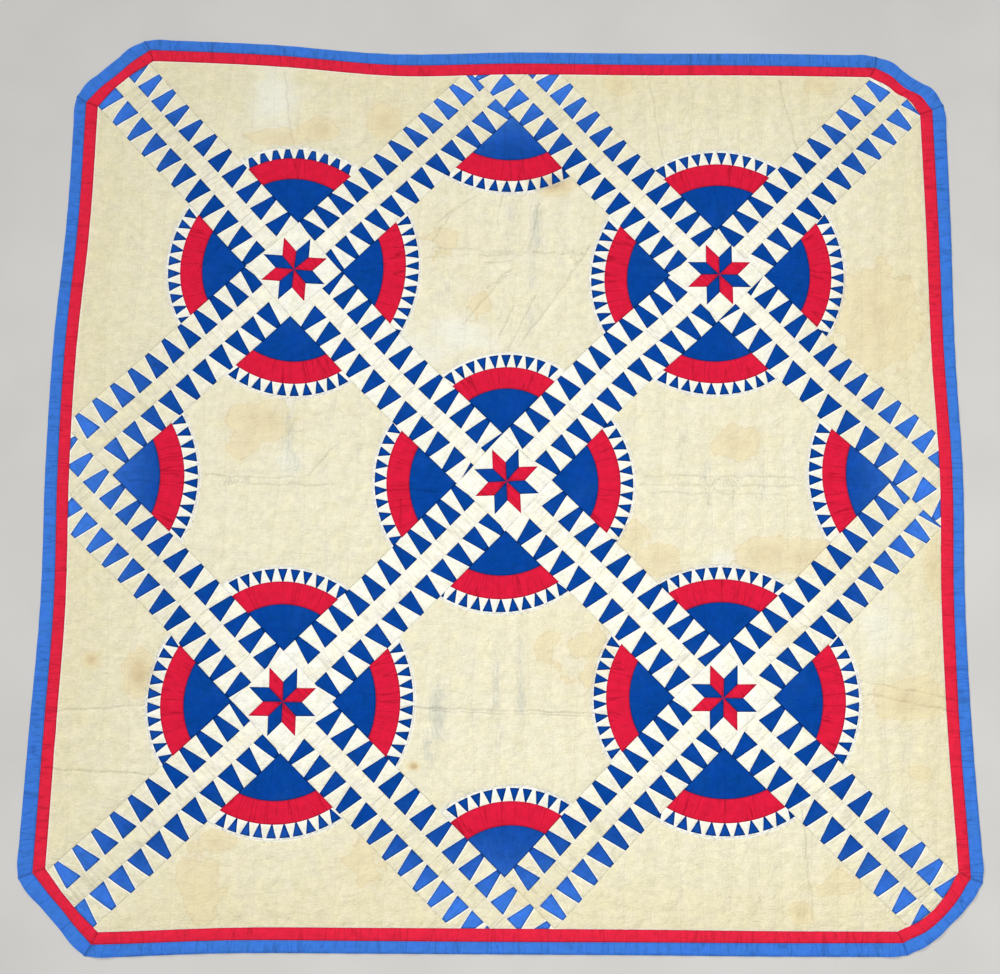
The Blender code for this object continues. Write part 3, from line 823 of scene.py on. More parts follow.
# %% Node group: sewn edge
def make_sewn_edge(source):
    """Along a seam: the dip, the shaded or white cloth beside it, and a thin line of painted shade in it."""
    ragged = (speckle(source["Place"], 160.0, 1.0) - 0.5) * 0.0014
    away = ragged + source["Distance"]
    return {"Height": fading(away, 0.0, 0.0026, -0.0008), "Beside": fading(away, 0.0014, 0.0031),
            "Line": fading(source["Distance"], 0.0002, 0.0012),
            "White": fading(ragged + source["White"], 0.0014, 0.0031)}


SEWN_EDGE = new_group("sewn edge", {"Distance": 1.0, "White": 1.0, "Place": None}, make_sewn_edge)

# %% Node group: hand quilting
STITCH = 0.0046


def make_quilting(source):
    """A row of hand quilting: its dent, its short stitches and its shade."""
    right, up = split(source["Place"])
    beat = ((right + up) * (math.tau / STITCH)).math("SINE")
    thread = between(beat, -0.25, 0.15) * fading(source["Distance"], 0.00025, 0.0007)
    dent = fading(source["Distance"], 0.0, 0.0030, -0.0007)
    return {"Height": thread.scaled(0.0003, dent), "Thread": thread,
            "Shade": fading(source["Distance"], 0.0003, 0.0016)}


QUILTING = new_group("hand quilting", {"Distance": 1.0, "Place": None}, make_quilting)


# %% Node group: use marks
def make_use_marks(source):
    """Masks for yellow washes, the tan cores and the tide lines of stains, grey smudges and pale patches."""
    rough = speckle(source["Place"], 24.0, 3.0, 0.55) - 0.5
    field = rough.scaled(0.75, source["Stain"])
    streak = speckle(stretched(source["Place"], (210, 46, 1)), 1.0, 3.0, 0.65)
    return {"Wash": between(field, -0.05, 0.40, 0.0, 0.30).math("MAXIMUM", between(field, 0.33, 0.41)),
            "Tan": between(field, 0.50, 1.60), "Tide": fading(abs(field - 0.38), 0.0, 0.028),
            "Grey": between((streak - 0.5).scaled(1.9, source["Smudge"]), 0.30, 1.1),
            "Pale": between(rough.scaled(0.8, source["Pale"]), 0.10, 0.95)}


USE_MARKS = new_group("use marks", {"Stain": 0.0, "Smudge": 0.0, "Pale": 0.0, "Place": None}, make_use_marks)

# %% [markdown]
# ## Fabrics
#
# All the fabrics are washed plain-weave cotton. They differ in colour, in how much they faded towards
# the edge of the quilt, and in how far stains show on them. One function makes them all, and each has
# its Principled BSDF in the material itself, with constant values set on its own sockets.

# %% Make the fabrics
YELLOWED = (0.77, 0.66, 0.39, 1)
TAN = (0.48, 0.30, 0.13, 1)
GREY = (0.38, 0.43, 0.43, 1)
WASHED_OUT = (0.85, 0.86, 0.77, 1)
STAINING = (("Pale", 0.75, WASHED_OUT), ("Wash", 0.60, YELLOWED), ("Tan", 0.60, TAN), ("Tide", 0.20, TAN),
            ("Grey", 0.45, GREY))
WORN = (0.95, 0.94, 0.86, 1)
# SHADED darkens a fabric into its painted shade, for seams, quilting rows, tucks and creases.
SHADED = (0.42, 0.40, 0.38, 1)
ROW_REACH = 0.0052
CREASE_REACH = 0.0073
CREASE_WOBBLE = 0.014


def attribute(tree, name):
    """A number stored on the mesh."""
    return Value(add_node(tree, "ShaderNodeAttribute", attribute_name=name).outputs["Fac"])


def line_distance(tree, name, reach, shift=0.0):
    """Distance to a line that runs between mesh points: the signed one, near where the plain one is small."""
    return abs(attribute(tree, f"{name}_line") + shift) + (attribute(tree, name) > reach)


def cotton(name, color, faded, fade_reach=0.20, fade_start=0.05, marks=0.0, pale=0.0, shaded=0.0,
           mottle=0.10, line=0.25, folds=0.30, tucking=1.0, stitches=0.35, quilting=(0.70, 0.66, 0.55, 1),
           crumpling=1.0, sheen=0.05, gloss=0.10):
    """One washed cotton fabric."""
    material = bpy.data.materials.new(name)
    material.use_nodes = True
    tree = material.node_tree
    shader = tree.nodes["Principled BSDF"]
    for label, value in (("Roughness", 0.90), ("Metallic", 0.0), ("Sheen Weight", sheen),
                         ("Sheen Roughness", 0.5), ("Specular IOR Level", gloss)):
        shader.inputs[label].default_value = value
    place = Value(add_node(tree, "ShaderNodeTexCoord").outputs["Object"])
    grain = Value(add_node(tree, "ShaderNodeUVMap", uv_map="grain").outputs["UV"])

    def group(which, **inputs):
        outputs = add_node(tree, "ShaderNodeGroup", inputs, node_tree=which).outputs
        return {socket.name: Value(socket) for socket in outputs}

    wobble = (speckle(place, 26.0, 1.0) - 0.5) * CREASE_WOBBLE
    crease, wrinkle = [line_distance(tree, kind, CREASE_REACH, wobble) for kind in ("crease", "wrinkle")]
    crease = crease.math("MINIMUM", wrinkle)
    weave = group(WEAVE, Grain=grain)
    wash = group(CRUMPLE, Place=place, Amount=crumpling)
    tucks = group(PUCKERS, Along=attribute(tree, "along"), Across=attribute(tree, "across"), Place=place)
    edge = group(SEWN_EDGE, Distance=attribute(tree, "seam"), Place=place,
                 White=attribute(tree, "white") if pale else 1.0)
    stitched = group(QUILTING, Distance=line_distance(tree, "row", ROW_REACH), Place=place)

    aged = fading(attribute(tree, "border"), fade_start, fade_reach)
    patchy = speckle(place, 9.0, 3.0, 0.6) - 0.5
    shown = mixed(tree, patchy.math("MULTIPLY_ADD", 0.30, aged * aged, clamp=True), color, faded)
    tone = (weave["Tone"] - 0.5).scaled(0.32, 1.0)
    tone = (speckle(place, 320.0, 0.0) - 0.5).scaled(0.14, tone)
    tone = tone * between(speckle(place, 64.0, 3.0, 0.70), 0.2, 0.8, 1 - mottle, 1 + mottle)
    warmth = between(speckle(stretched(place, (1, 1, 1), (4, 2, 0)), 28.0, 3.0, 0.6), 0.25, 0.75,
                     1 - 0.6 * mottle, 1 + 0.6 * mottle)
    tint = add_node(tree, "ShaderNodeCombineColor", {0: tone, 1: tone, 2: tone * warmth}).outputs[0]
    shown = mixed(tree, 1.0, shown, Value(tint), "MULTIPLY")
    if pale:
        shown = mixed(tree, edge["White"] * pale, shown, WORN)
    # The fabric darkened: the colour of all the painted shade mixed in below.
    shade_color = mixed(tree, 1.0, shown, SHADED, "MULTIPLY")
    if shaded:
        shown = mixed(tree, edge["Beside"] * shaded, shown, shade_color)
    if marks:
        use = group(USE_MARKS, Stain=attribute(tree, "stain"), Smudge=attribute(tree, "smudge"),
                    Pale=attribute(tree, "pale"), Place=place)
        for kind, strength, stain in STAINING:
            shown = mixed(tree, use[kind] * (strength * marks), shown, stain)
    # Painted shade in the creases, faded in and out by noise, and in the tucks.
    pressed = between(speckle(place, 14.0), 0.36, 0.56)
    fold_shade = (tucks["Line"] * tucking).math("MAXIMUM", fading(crease, 0.0003, 0.0026, 0.9) * pressed)
    # Thin lines of painted shade in the seams, along the quilting rows, and in tucks and creases.
    for mask in (edge["Line"] * line, stitched["Shade"] * (0.6 * stitches), fold_shade * folds):
        shown = mixed(tree, mask, shown, shade_color)
    shown = mixed(tree, stitched["Thread"] * (1.7 * stitches), shown, quilting)
    tree.links.new(shown.socket, shader.inputs["Base Color"])

    height = weave["Height"].scaled(0.00006, wash["Height"])
    height = tucks["Height"].scaled(0.4 + 0.6 * tucking, height + edge["Height"])
    height = stitched["Height"].scaled(min(1.0, 2.5 * stitches), height)
    height = fading(crease, 0.0, 0.0050).scaled(-0.0012, height)
    bump = add_node(tree, "ShaderNodeBump", {"Height": height, "Distance": 1.0, "Strength": 1.0})
    tree.links.new(bump.outputs["Normal"], shader.inputs["Normal"])
    return material


MUSLIN_COLOR, MUSLIN_FADED = (0.800, 0.752, 0.560, 1), (0.762, 0.702, 0.480, 1)
WHITE = (0.905, 0.892, 0.775, 1)
WHITES = {"marks": 0.7, "pale": 0.95, "line": 0.06, "folds": 0.16, "tucking": 0.6, "stitches": 0.10}
BLUES = {"quilting": (0.03, 0.10, 0.33, 1), "sheen": 0.0}
REDS = {"quilting": (0.42, 0.05, 0.08, 1), "sheen": 0.0}
PATCHES = {"line": 0.3, "crumpling": 0.5, "gloss": 0.02}
BORDERS = {"line": 0.12, "shaded": 0.3, "folds": 0.36, "stitches": 0.30, "crumpling": 0.6, "gloss": 0.03}
FABRICS = {
    "muslin": cotton("muslin_ground", MUSLIN_COLOR, MUSLIN_FADED, 0.42, marks=1.0, pale=0.65, line=0.12,
                     folds=0.22, tucking=0.2, stitches=0.14, mottle=0.08),
    "strip": cotton("cream_strips", (0.915, 0.885, 0.755, 1), (0.775, 0.725, 0.525, 1), 0.64, 0.16,
                    marks=0.5, pale=0.7, line=0.15, folds=0.26, stitches=0.30),
    "point_ground": cotton("white_between_points", WHITE, (0.790, 0.742, 0.545, 1), 0.64, 0.16, **WHITES),
    "spike_ground": cotton("white_between_spikes", WHITE, (0.850, 0.825, 0.670, 1), 0.64, **WHITES),
    "blue": cotton("blue_cotton", (0.002, 0.054, 0.310, 1), (0.048, 0.190, 0.710, 1), 0.38, shaded=0.65,
                   mottle=0.12, tucking=0.6, stitches=0.15, **BLUES, **PATCHES),
    "red": cotton("red_cotton", (0.680, 0.012, 0.045, 1), (0.690, 0.013, 0.047, 1), 0.30, shaded=0.45,
                  folds=0.55, stitches=0.20, **REDS, **PATCHES),
    "border_blue": cotton("blue_border_cotton", (0.035, 0.165, 0.600, 1), (0.046, 0.185, 0.650, 1), 0.30,
                          **BLUES, **BORDERS),
    "border_red": cotton("red_border_cotton", (0.700, 0.015, 0.047, 1), (0.730, 0.019, 0.052, 1), 0.30,
                         **REDS, **BORDERS),
    "backing": cotton("backing_muslin", (0.80, 0.74, 0.55, 1), (0.76, 0.69, 0.50, 1), 0.40, line=0.0),
}
PIECED = [FABRICS[name] for name in ORDER]
BLOCK_PIECED = [FABRICS["spike_ground" if name == "point_ground" else name] for name in ORDER]
print("fabrics:", sorted(FABRICS))

# %% [markdown]
# ## Star squares
#
# Five squares hold an eight-pointed star of four red and four blue diamonds on white. The square is
# cut through its middle into eight wedges, and in each wedge two cuts from the notches to the tip
# leave one diamond. This is how quilters cut such a star too, one wedge at a time.

# %% Piece the stars
Star = namedtuple("Star", "name u v move_u move_v")
STARS = (
    Star("star_middle", 0, 0, 0.005, -0.003),
    Star("star_upper_left", 0, 1, 0.000, 0.000),
    Star("star_upper_right", 1, 0, 0.005, -0.002),
    Star("star_lower_left", -1, 0, 0.000, 0.000),
    Star("star_lower_right", 0, -1, 0.000, 0.000),
)
EIGHTH = math.pi / 4
NOTCH_RADIUS = STAR_RADIUS / (2 * math.cos(EIGHTH / 2))


def right_of(place, start, end):
    """How far a place lies right of a line, times the line's length."""
    return (place[0] - start[0]) * (end[1] - start[1]) - (place[1] - start[1]) * (end[0] - start[0])


def build_star(star):
    """One star square, pieced and raised."""
    u, v = star.u * PITCH, star.v * PITCH
    side = HALF_SASH - HALF_GAP
    form = flat_face(((u - side, v - side), (u + side, v - side), (u + side, v + side), (u - side, v + side)),
                     POINT_GROUND)
    middle = np.array((u + star.move_u, v + star.move_v))

    def around(radius, turn):
        return middle + radius * np.array((math.cos(turn), math.sin(turn)))

    for step in range(4):
        cut(form, list(form.faces), around(-1, step * EIGHTH), around(1, step * EIGHTH))
    for step in range(8):
        tip = around(STAR_RADIUS, (step + 0.5) * EIGHTH)
        first, second = around(NOTCH_RADIUS, step * EIGHTH), around(NOTCH_RADIUS, (step + 1) * EIGHTH)

        def in_wedge(face):
            place = face.calc_center_median()
            return right_of(place, middle, first) < 0 < right_of(place, middle, second)

        cut(form, [face for face in form.faces if in_wedge(face)], first, tip)
        cut(form, [face for face in form.faces if in_wedge(face)], tip, second)
        for face in form.faces:
            place = face.calc_center_median()
            if in_wedge(face) and right_of(place, first, tip) < 0 and right_of(place, tip, second) < 0:
                face.material_index = RED if step % 2 else BLUE
    _, seams, whites = sewing_lines(form)
    for axis, start in ((0, u - side), (1, v - side)):
        crosswise(form, list(form.faces), axis, stepped(start, start + 2 * side, MESH_STEP)[1:-1])
    return finish_flat(star.name, form, PIECED, (seams, seams, whites), (),
                       lambda flat, places: flat)


for star in STARS:
    piece = build_star(star)
print("last star:", len(piece.data.polygons), "faces")

# %% [markdown]
# ## Sashes
#
# A sash is a plain cream strip between two bands of blue points on white. The points are cut by eye,
# so every row has its own count and spacing, and a row often starts with a sliver where it meets a
# star. A sash starts and ends at crossings of the grid, told in pitches, or is cut off between two at
# the border. Its rows of points before and after the strip have the places of their first, middle and
# last point along the sash in millimetres, their number, and how far their tips lean.

# %% Piece the sashes
Sash = namedtuple("Sash", "name run line start end before after")
SASHES = [Sash(*row) for row in (
    ("lower_right_to_corner", "left", 0, -2.2, -1, (-1322, -1056, -793, 11, -2), (-1318, -1058, -794, 11, 0)),
    ("middle_to_lower_right", "left", 0, -1, 0, (-585, -349, -118, 10, 0), (-605, -366, -118, 11, -2)),
    ("middle_to_upper_left", "left", 0, 0, 1, (67, 321, 571, 11, -1), (73, 344, 607, 12, 1)),
    ("upper_left_to_corner", "left", 0, 1, 2.2, (774, 1045, 1323, 12, -3), (793, 1070, 1332, 12, 2)),
    ("lower_left_to_corner", "right", 0, -2.2, -1, (-1326, -1049, -773, 12, -2),
     (-1251, -1003, -765, 11, -1)),
    ("middle_to_lower_left", "right", 0, -1, 0, (-593, -339, -87, 11, 2), (-572, -325, -90, 11, 3)),
    ("middle_to_upper_right", "right", 0, 0, 1, (99, 350, 598, 11, 0), (103, 356, 594, 11, 3)),
    ("upper_right_to_corner", "right", 0, 1, 2.2, (801, 1089, 1378, 12, 3), (779, 1033, 1291, 11, -3)),
    ("upper_right_to_right", "left", 1, -1.3, 0, (-795, -421, -72, 14, -2), (-704, -378, -70, 14, 0)),
    ("upper_right_to_top", "left", 1, 0, 1.3, (90, 432, 782, 15, 2), (87, 405, 702, 14, -2)),
    ("lower_left_to_bottom", "left", -1, -1.3, 0, (-716, -420, -107, 14, 0), (-796, -444, -102, 15, 0)),
    ("lower_left_to_left", "left", -1, 0, 1.3, (92, 382, 665, 13, 1), (94, 428, 777, 15, 0)),
    ("upper_left_to_left", "right", 1, -1, 0, (-566, -330, -112, 10, -1), (-576, -327, -89, 11, 1)),
    ("upper_left_to_top", "right", 1, 0, 1, (78, 334, 601, 12, 4), (89, 339, 609, 12, -6)),
    ("lower_right_to_bottom", "right", -1, -1, 0, (-581, -333, -88, 11, 2), (-577, -332, -90, 11, -2)),
    ("lower_right_to_right", "right", -1, 0, 1, (108, 365, 614, 11, 2), (101, 351, 610, 11, 1)),
)]
POINT_SHARE = 0.77
POINT_TIP = 0.0122
END_SPARE = 0.004


def points_of(first, middle, last, count, lean):
    """Places of the points in a row, their spacing and their lean, in metres."""
    bend = 4 * middle - 2 * (first + last)
    shares = np.linspace(0, 1, count)
    places = first + (last - first) * shares + bend * shares * (1 - shares)
    return places / 1000, (last - first) / 1000 / (count - 1), lean / 1000


def hand_cut(number, amount):
    """A small, steady unevenness, as from scissors."""
    return amount * math.sin(12.9898 * number + 0.7 * math.sin(4.1 * number))


def row_stops(start, end):
    """Places of the rows of quilting across a sash."""
    marks = []
    for crossing in range(-3, 3):
        edge, far_edge = crossing * PITCH - HALF_SASH, (crossing + 1) * PITCH - HALF_SASH
        marks += stepped(edge, edge + SASH_WIDTH, SASH_ROW) + stepped(edge + SASH_WIDTH, far_edge, SASH_ROW)
    return [mark for mark in marks if start + END_SPARE < mark < end - END_SPARE]


def build_sash(sash):
    """One sash, pieced and raised."""
    start = sash.start * PITCH + HALF_SASH * (sash.start % 1 == 0) + HALF_GAP
    end = sash.end * PITCH - HALF_SASH * (sash.end % 1 == 0) - HALF_GAP
    middle, side = sash.line * PITCH, HALF_SASH - HALF_GAP

    def spot(along, across):
        return (middle + across, along) if sash.run == "left" else (along, middle + across)

    form = flat_face([spot(start, -side), spot(end, -side), spot(end, side), spot(start, side)], STRIP)
    for seam in (-HALF_STRIP, HALF_STRIP):
        cut(form, list(form.faces), spot(start, seam), spot(end, seam))
    axis = 1 if sash.run == "left" else 0
    for way, row in ((-1, sash.before), (1, sash.after)):
        band = [face for face in form.faces
                if way * (face.calc_center_median()[1 - axis] - middle) > HALF_STRIP]
        edges = []
        places, spacing, slant = points_of(*row)
        for number, middle_place in enumerate(places):
            base = POINT_SHARE * spacing / 2 + hand_cut(number + 3 * way, 0.0007)
            tip = POINT_TIP / 2 + hand_cut(2 * number + way, 0.0008)
            lean = slant + hand_cut(3 * number + 5 * way, 0.0014)
            place = middle_place - lean / 2
            edges.append((place, base, tip, lean))
            for turn in (-1, 1):
                low, high = place + turn * base, place + lean + turn * tip
                near = [face for face in band
                        if min(vert.co[axis] for vert in face.verts) < max(low, high)
                        and max(vert.co[axis] for vert in face.verts) > min(low, high)]
                if near:
                    rest = [face for face in band if face not in near]
                    band = [*rest, *cut(form, near, spot(low, way * HALF_STRIP), spot(high, way * side))]
        for face in band:
            place = face.calc_center_median()
            share = (abs(place[1 - axis] - middle) - HALF_STRIP) / (side - HALF_STRIP)
            inside = any(abs(place[axis] - at - lean * share) < base + (tip - base) * share
                         for at, base, tip, lean in edges)
            face.material_index = BLUE if inside else POINT_GROUND
    at_border = not sash.name.startswith("middle")
    lines = sewing_lines(form, at_border)
    band_middle = (HALF_SASH + HALF_STRIP) / 2
    rows = np.array([(spot(row, -band_middle), spot(row, band_middle)) for row in row_stops(start, end)])
    crosswise(form, list(form.faces), axis, stepped(start, end, MESH_STEP)[1:-1])
    cuts = stepped(-HALF_STRIP, HALF_STRIP, MESH_STEP)[1:-1]
    cuts += [way * place for way in (-1, 1) for place in stepped(HALF_STRIP, side, MESH_STEP)[1:-1]]
    crosswise(form, list(form.faces), 1 - axis, sorted(middle + place for place in cuts))
    if at_border:
        trim_to_border(form, RED_SEAM)
    return finish_flat(f"sash_{sash.name}", form, PIECED, lines, rows,
                       lambda flat, places: flat[:, (axis, 1 - axis)])


for sash in SASHES:
    piece = build_sash(sash)
print("last sash:", len(piece.data.polygons), "faces")

# %% [markdown]
# ## Blocks with fans
#
# The ground of each block is one piece of muslin with a fan in every corner where a star or a border
# crossing is near. A fan is a blue corner, a red ring, and a ring of small blue spikes on white. Its
# arcs are a little flatter than quarter circles, so their centre lies behind the corner. Spin turns
# one row of edges round that centre and makes all the rings at once, the ground is filled in around
# the fans, and the spikes are cut into their ring. A fan's row has the crossing that it is near and the
# way into its block, how far its centre lies back, the radii of its blue, its red and its spikes, the
# turns of its first and last spike, and their number. Sizes are in millimetres and turns in degrees.
# One fan has a spike added, and in one the spikes are sewn in the wrong way round, with their wide
# ends on the red ring.

# %% Piece the blocks
Block = namedtuple("Block", "name u v")
BLOCKS = [Block(*row) for row in (
    ("block_top", 0, 0), ("block_left", -1, 0), ("block_bottom", -1, -1), ("block_right", 0, -1),
    ("edge_block_top_right", 1, 0), ("edge_block_top_left", 0, 1), ("edge_block_left_upper", -1, 1),
    ("edge_block_left_lower", -2, 0), ("edge_block_bottom_left", -2, -1),
    ("edge_block_bottom_right", -1, -2), ("edge_block_right_lower", 0, -2),
    ("edge_block_right_upper", 1, -1),
)]
Fan = namedtuple("Fan", "u v into_u into_v back_u back_v blue red spikes first last count extra reversed",
                 defaults=((), False))
FANS = [Fan(*row) for row in (
    (0, 0, 1, 1, 23, 32, 144, 194, 223, 23.6, 80.8, 9, (14.4,)),
    (0, 0, -1, 1, 52, 56, 182, 233, 259, 14.6, 75.6, 10),
    (0, 0, -1, -1, 51, 62, 182, 235, 264, 12.6, 76.2, 11),
    (0, 0, 1, -1, 45, 36, 162, 212, 240, 9.4, 80.7, 11),
    (0, 1, 1, 1, 56, 42, 173, 222, 244, 15.3, 78.4, 10, (), True),
    (0, 1, -1, 1, 59, 65, 187, 236, 263, 15.3, 73.0, 10),
    (0, 1, -1, -1, 44, 38, 164, 215, 243, 12.5, 75.3, 10),
    (0, 1, 1, -1, 80, 79, 208, 260, 290, 19.6, 74.6, 11),
    (-1, 0, 1, 1, 36, 37, 153, 203, 231, 11.5, 74.9, 10),
    (-1, 0, -1, 1, 46, 50, 170, 219, 246, 14.0, 76.5, 10),
    (-1, 0, -1, -1, 52, 63, 183, 233, 262, 19.4, 75.3, 10),
    (-1, 0, 1, -1, 76, 74, 201, 254, 282, 19.7, 71.9, 10),
    (1, 0, 1, 1, 54, 65, 194, 246, 274, 17.0, 76.2, 10),
    (1, 0, -1, 1, 62, 70, 193, 244, 274, 17.0, 72.2, 10),
    (1, 0, -1, -1, 52, 74, 187, 239, 266, 20.3, 75.4, 10),
    (1, 0, 1, -1, 50, 62, 187, 238, 267, 16.3, 78.9, 11),
    (0, -1, 1, 1, 58, 52, 180, 232, 259, 15.4, 75.4, 10),
    (0, -1, -1, 1, 47, 44, 166, 218, 246, 13.8, 75.5, 10),
    (0, -1, -1, -1, 73, 70, 213, 265, 293, 13.0, 75.3, 11),
    (0, -1, 1, -1, 69, 53, 194, 243, 271, 14.4, 73.1, 10),
    (1, 1, -1, -1, 64, 73, 205, 255, 281, 14.1, 75.5, 11),
    (-1, 1, 1, -1, 77, 73, 209, 261, 290, 17.0, 70.9, 10),
    (1, -1, -1, 1, 86, 73, 214, 266, 295, 19.5, 69.0, 9),
    (-1, -1, 1, 1, 32, 47, 165, 216, 244, 14.5, 76.9, 10),
)]
FAN_STEPS = 22
FAN_SPARE = math.radians(3)
FAN_REACH = 0.25
RIM_WIDTH = 0.0046
SPIKE_SHARE = 0.78
SPIKE_TIP = 0.0034
REVERSED_SHARE = 0.84
REVERSED_TIP = 0.0098
RADIAL_ROWS = 6
ON_LINE = 0.0002
ARC_SLACK = 0.00018
BORDER_SPARE = 0.02
FAN_SHIFT = 1.7


def fan_corner(fan):
    """Corner of a block that a fan is sewn into, on the slant grid."""
    inset = HALF_SASH + HALF_GAP
    return np.array((fan.u * PITCH + fan.into_u * inset, fan.v * PITCH + fan.into_v * inset))


def fan_centre(fan):
    """Centre of a fan's arcs, behind its corner."""
    return fan_corner(fan) - np.array((fan.into_u * fan.back_u, fan.into_v * fan.back_v)) / 1000


def fan_radii(fan):
    """Radii of a fan's four arcs, in metres."""
    return [size / 1000 for size in (fan.blue, fan.red, fan.spikes)] + [fan.spikes / 1000 + RIM_WIDTH]


def fan_place(fan, radius, turn):
    """Place in a fan at a radius and a turn round its centre, from its U side towards its V side."""
    return fan_centre(fan) + radius * np.array((fan.into_u * math.cos(turn), fan.into_v * math.sin(turn)))


def fan_span(fan, radius):
    """Turns at which an arc meets the two sides of the block."""
    return math.asin(fan.back_v / 1000 / radius), math.pi / 2 - math.asin(fan.back_u / 1000 / radius)


def arc_edges(form, fan, radius):
    """The open edges of a form along one arc of a fan."""
    centre = Vector(fan_centre(fan))
    return [edge for edge in form.edges if edge.is_boundary
            and all(abs((vert.co.xy - centre).length - radius) < ARC_SLACK for vert in edge.verts)]


def side_end(form, corner, other):
    """Last point of a fan along a side of its block, seen from one corner, or else the bare corner."""
    way = Vector(other - corner).normalized()
    offsets = [(vert.co.xy - Vector(corner), vert) for vert in form.verts]
    on_side = [(offset.dot(way), vert) for offset, vert in offsets
               if abs(offset.cross(way)) < ON_LINE and -ON_LINE < offset.dot(way) < FAN_REACH]
    return max(on_side, key=lambda spot: spot[0])[1]


def spin_fan(form, fan):
    """Spin a fan's rings round its centre, cut them at the sides of the block, and fill in the blue."""
    corner, radii = fan_corner(fan), fan_radii(fan)
    start, end = fan_span(fan, radii[-1])
    verts = [form.verts.new((*fan_place(fan, radius, start - FAN_SPARE), 0)) for radius in radii]
    edges = [form.edges.new(pair) for pair in zip(verts, verts[1:])]
    others = set(form.faces)
    bmesh.ops.spin(form, geom=edges, cent=(*fan_centre(fan), 0), axis=(0, 0, 1), dvec=(0, 0, 0),
                   angle=fan.into_u * fan.into_v * (end - start + 2 * FAN_SPARE), space=Matrix(),
                   steps=FAN_STEPS, use_merge=False, use_normal_flip=False, use_duplicate=False)
    rings = [face for face in form.faces if face not in others]
    for run in ((fan.into_v, 0), (0, -fan.into_u)):
        rings = cut(form, rings, corner, corner + np.array(run), trim=True)
    for face in rings:
        away = (face.calc_center_median().xy - Vector(fan_centre(fan))).length
        face.material_index = RED if away < radii[1] else POINT_GROUND
    for vert in form.verts:
        for axis in (0, 1):
            if abs(vert.co[axis] - corner[axis]) < ON_LINE:
                vert.co[axis] = corner[axis]
    bmesh.ops.remove_doubles(form, verts=form.verts, dist=ON_LINE)
    inner = arc_edges(form, fan, radii[0])
    ends = dict.fromkeys(vert for edge in inner for vert in edge.verts
                         if min(abs(vert.co.x - corner[0]), abs(vert.co.y - corner[1])) < CUT_CLOSE)
    tip = form.verts.new((*corner, 0))
    inner += [form.edges.new((tip, vert)) for vert in ends]
    bmesh.ops.edgeloop_fill(form, edges=inner, mat_nr=BLUE)


def cut_spikes(form, fan):
    """Cut a fan's ring of spikes."""
    centre = Vector(fan_centre(fan))
    inner, outer = fan.red / 1000, fan.spikes / 1000
    band = [face for face in form.faces if face.material_index == POINT_GROUND
            and inner < (face.calc_center_median().xy - centre).length < outer]
    spacing = math.radians(fan.last - fan.first) / (fan.count - 1)
    half_inner, half_outer = SPIKE_TIP / 2 / inner, SPIKE_SHARE * spacing / 2
    if fan.reversed:
        half_inner, half_outer = REVERSED_SHARE * spacing / 2, REVERSED_TIP / 2 / outer
    spikes = []
    for number, degrees in enumerate([*np.linspace(fan.first, fan.last, fan.count), *fan.extra]):
        turn = math.radians(degrees + hand_cut(number + fan.blue, 0.2))
        wide = half_outer * (1 + hand_cut(number + fan.red, 0.06))
        spike = [(fan_place(fan, inner, turn + way * half_inner), fan_place(fan, outer, turn + way * wide))
                 for way in (-1, 1)]
        for start, end in spike:
            band = cut(form, band, start, end)
        spikes.append(spike)
    handed = fan.into_u * fan.into_v
    for face in band:
        place = face.calc_center_median()
        for before, after in spikes:
            if right_of(place, *before) * handed < 0 < right_of(place, *after) * handed:
                face.material_index = BLUE


def fan_rows(fan):
    """Rows of quilting that radiate across the red ring."""
    blue, red = fan_radii(fan)[:2]
    start, end = fan_span(fan, blue)
    turns = stepped(start, end, (end - start) / RADIAL_ROWS)[1:-1]
    return [(fan_place(fan, blue, turn), fan_place(fan, red, turn)) for turn in turns]


def in_fan(fan, flat):
    """Whether places lie on a fan, with their turns round its centre and their distances from it."""
    offsets = (flat - fan_centre(fan)) * np.array((fan.into_u, fan.into_v))
    away = np.hypot(*offsets.T)
    return away < fan_radii(fan)[-1] - 1e-4, np.arctan2(offsets[:, 1], offsets[:, 0]), away


